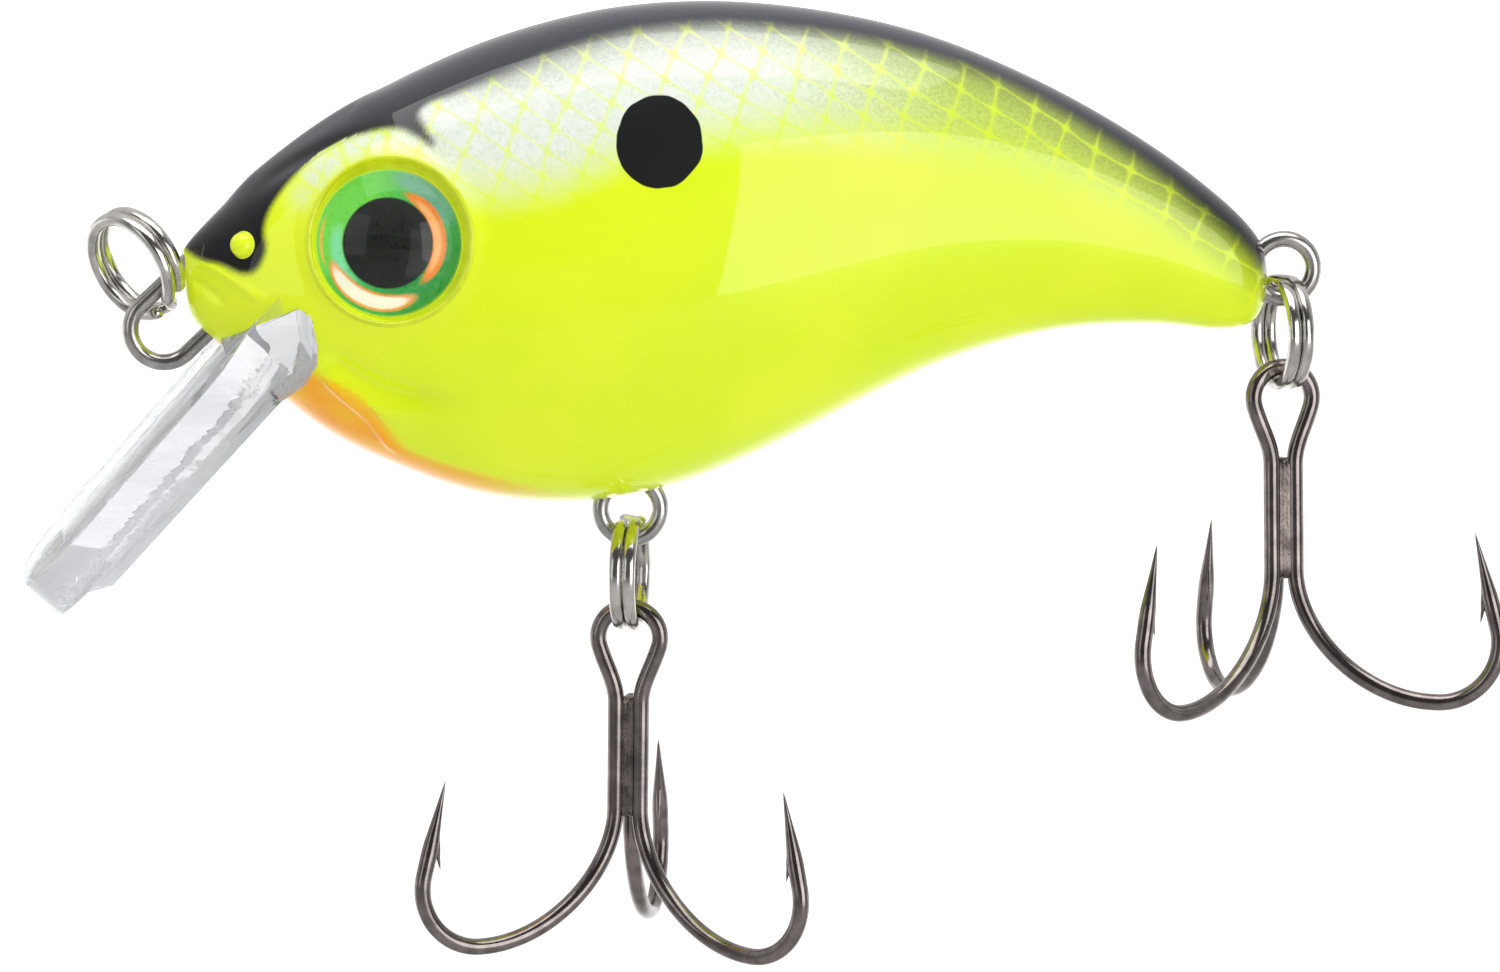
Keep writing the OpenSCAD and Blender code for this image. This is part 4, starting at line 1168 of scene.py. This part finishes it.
def treble(prefix, ring_centre, yaw, swing, body):
    reach = RING_INNER_R + HOOK_DROP
    turn = rotation(Z, yaw) @ rotation(X, swing)

    def piece(suffix, shape, material, node):
        verts = (shape[0] - [0, SHANK_Y, reach]) @ turn.T + ring_centre
        make_object(prefix + suffix, verts, shape[1], material, body, [prefix + "_treble_" + node])

    left, left_w = hook_line(LEFT_HOOK)
    right, right_w = hook_line(RIGHT_HOOK)
    left_eye, right_eye = treble_eye(-1), treble_eye(1)
    top = np.array([[0, SHANK_Y, EYE_MEAN_R]])
    path = np.concatenate([left[::-1], left_eye[::-1], top, right_eye, right])
    width = np.concatenate([left_w[::-1], np.full(len(left_eye) + 1 + len(right_eye), HOOK_R), right_w])
    hooks = merge([sweep(path, width, up=Y), barb(LEFT_HOOK), barb(RIGHT_HOOK)])
    piece("_double_hook_wire", hooks, BLACK_NICKEL, "double_hook")
    back, back_w = hook_line(SINGLE_HOOK)
    start = np.array([(0, SHANK_R, z) for z in (-3.3, -3.36, -3.5, -3.75, -5.5, -7.5)])
    path = np.concatenate([start, back])
    width = np.concatenate([[0.12, 0.28, 0.4, HOOK_R, HOOK_R, HOOK_R], back_w])
    hook = merge([sweep(path, width, up=X), barb(SINGLE_HOOK)])
    piece("_single_hook_wire", hook, BLACK_NICKEL, "single_hook")
    piece("_brazing", braze(), BRAZE, "braze")


# The tail hook hangs a little towards the left side
TAIL_SWING = -4
treble("belly", BELLY_RING, BELLY_YAW, 0, "belly_treble")
treble("tail", TAIL_RING, TAIL_YAW, TAIL_SWING, "tail_treble")

# --- CAD nodes that stay ---
KEPT = {"belly_ballast": LEAD, "knocker_ball": BALL, "rattle_balls": BALL}
for node, material in KEPT.items():
    data = frame["nodes"][node].data
    data.materials.clear()
    data.materials.append(material)

# --- Floor, lights and camera ---
def floor_material():
    """Pale floor that glows behind the lure and stays quieter in front of it."""
    g = Graph("pale_floor")
    p = g.place()
    tone = g.noise(p, 0.004, 2.0)
    colour = g.mix(g.ramp(tone, 0.3, 0.7), (0.60, 0.60, 0.605, 1), (0.63, 0.63, 0.63, 1))
    glow = g.ramp(g.xyz(p)[1], 40.0, 220.0, 0.0, 0.95)
    return g.surface(g.principled(
        Base_Color=colour, Roughness=0.8, Emission_Color=(1, 1, 1, 1), Emission_Strength=glow))


FLOOR_Z = -150.0
FLOOR_HALF = 5000.0
bm = bmesh.new()
bmesh.ops.create_grid(bm, x_segments=8, y_segments=8, size=FLOOR_HALF * MM)
floor_mesh = bpy.data.meshes.new("floor")
bm.to_mesh(floor_mesh)
bm.free()
floor = bpy.data.objects.new("floor", floor_mesh)
floor.location = (0, 0, FLOOR_Z * MM)
link(floor)
floor_mesh.materials.append(floor_material())


def area_light(name, place, aim, width, height, radiance):
    """Softbox; its power follows from its size and brightness."""
    light = bpy.data.lights.new(name, "AREA")
    light.shape = "RECTANGLE"
    light.size, light.size_y = width * MM, height * MM
    light.energy = radiance * math.pi * light.size * light.size_y
    obj = bpy.data.objects.new(name, light)
    obj.location = Vector(place) * MM
    obj.rotation_euler = (Vector(aim) - Vector(place)).to_track_quat("-Z", "Y").to_euler()
    link(obj)


area_light("top_softbox", (20, -90, 420), (28, 0, 5), 560, 300, 2.4)
area_light("front_softbox", (380, -500, 60), (28, 0, 2), 420, 460, 2.4)
area_light("side_softbox", (-450, -380, 120), (10, 0, 2), 260, 420, 0.9)

world = bpy.data.worlds.new("studio")
bpy.context.scene.world = world
sky = Graph(world, "ShaderNodeOutputWorld")
away = sky.xyz(sky.new("ShaderNodeTexCoord").outputs["Generated"])[1]
background = sky.node("ShaderNodeBackground", Strength=sky.ramp(away, -0.6, 0.4, 0.12, 0.85))
sky.surface(background.outputs[0])

# Camera: 5 degrees towards the nose, 6.8 degrees up, 500 mm away, rolled 0.6 degrees
AIM = np.array([32.0, 0.0, 0.0])
AZIMUTH, ELEVATION, DISTANCE, ROLL = 5.0, 6.8, 500.0, 0.6
FIELD_MM = 83.1
# Centre of the picture from AIM, in the plane through it
SHIFT_RIGHT, SHIFT_UP = 0.41, -8.68
az, el = math.radians(AZIMUTH), math.radians(ELEVATION)
back_dir = np.array([-math.sin(az) * math.cos(el), -math.cos(az) * math.cos(el), math.sin(el)])
place = AIM + DISTANCE * back_dir
right = unit(np.cross(-back_dir, [0, 0, 1]))
up = np.cross(right, -back_dir)
roll = math.radians(ROLL)
right, up = right * math.cos(roll) + up * math.sin(roll), up * math.cos(roll) - right * math.sin(roll)
look = AIM + SHIFT_RIGHT * right + SHIFT_UP * up
forward = unit(look - place)
right = unit(right - right @ forward * forward)
up = np.cross(right, forward)
camera_data = bpy.data.cameras.new("camera")
camera_data.sensor_width = 36.0
camera_data.lens = 36.0 * DISTANCE / FIELD_MM
camera_data.clip_start, camera_data.clip_end = 0.01, 20.0
camera = bpy.data.objects.new("camera", camera_data)
camera.matrix_world = Matrix([
    [right[0], up[0], -forward[0], place[0] * MM],
    [right[1], up[1], -forward[1], place[1] * MM],
    [right[2], up[2], -forward[2], place[2] * MM],
    [0, 0, 0, 1],
])
link(camera)
bpy.context.scene.camera = camera
bpy.context.scene.view_settings.view_transform = "Standard"
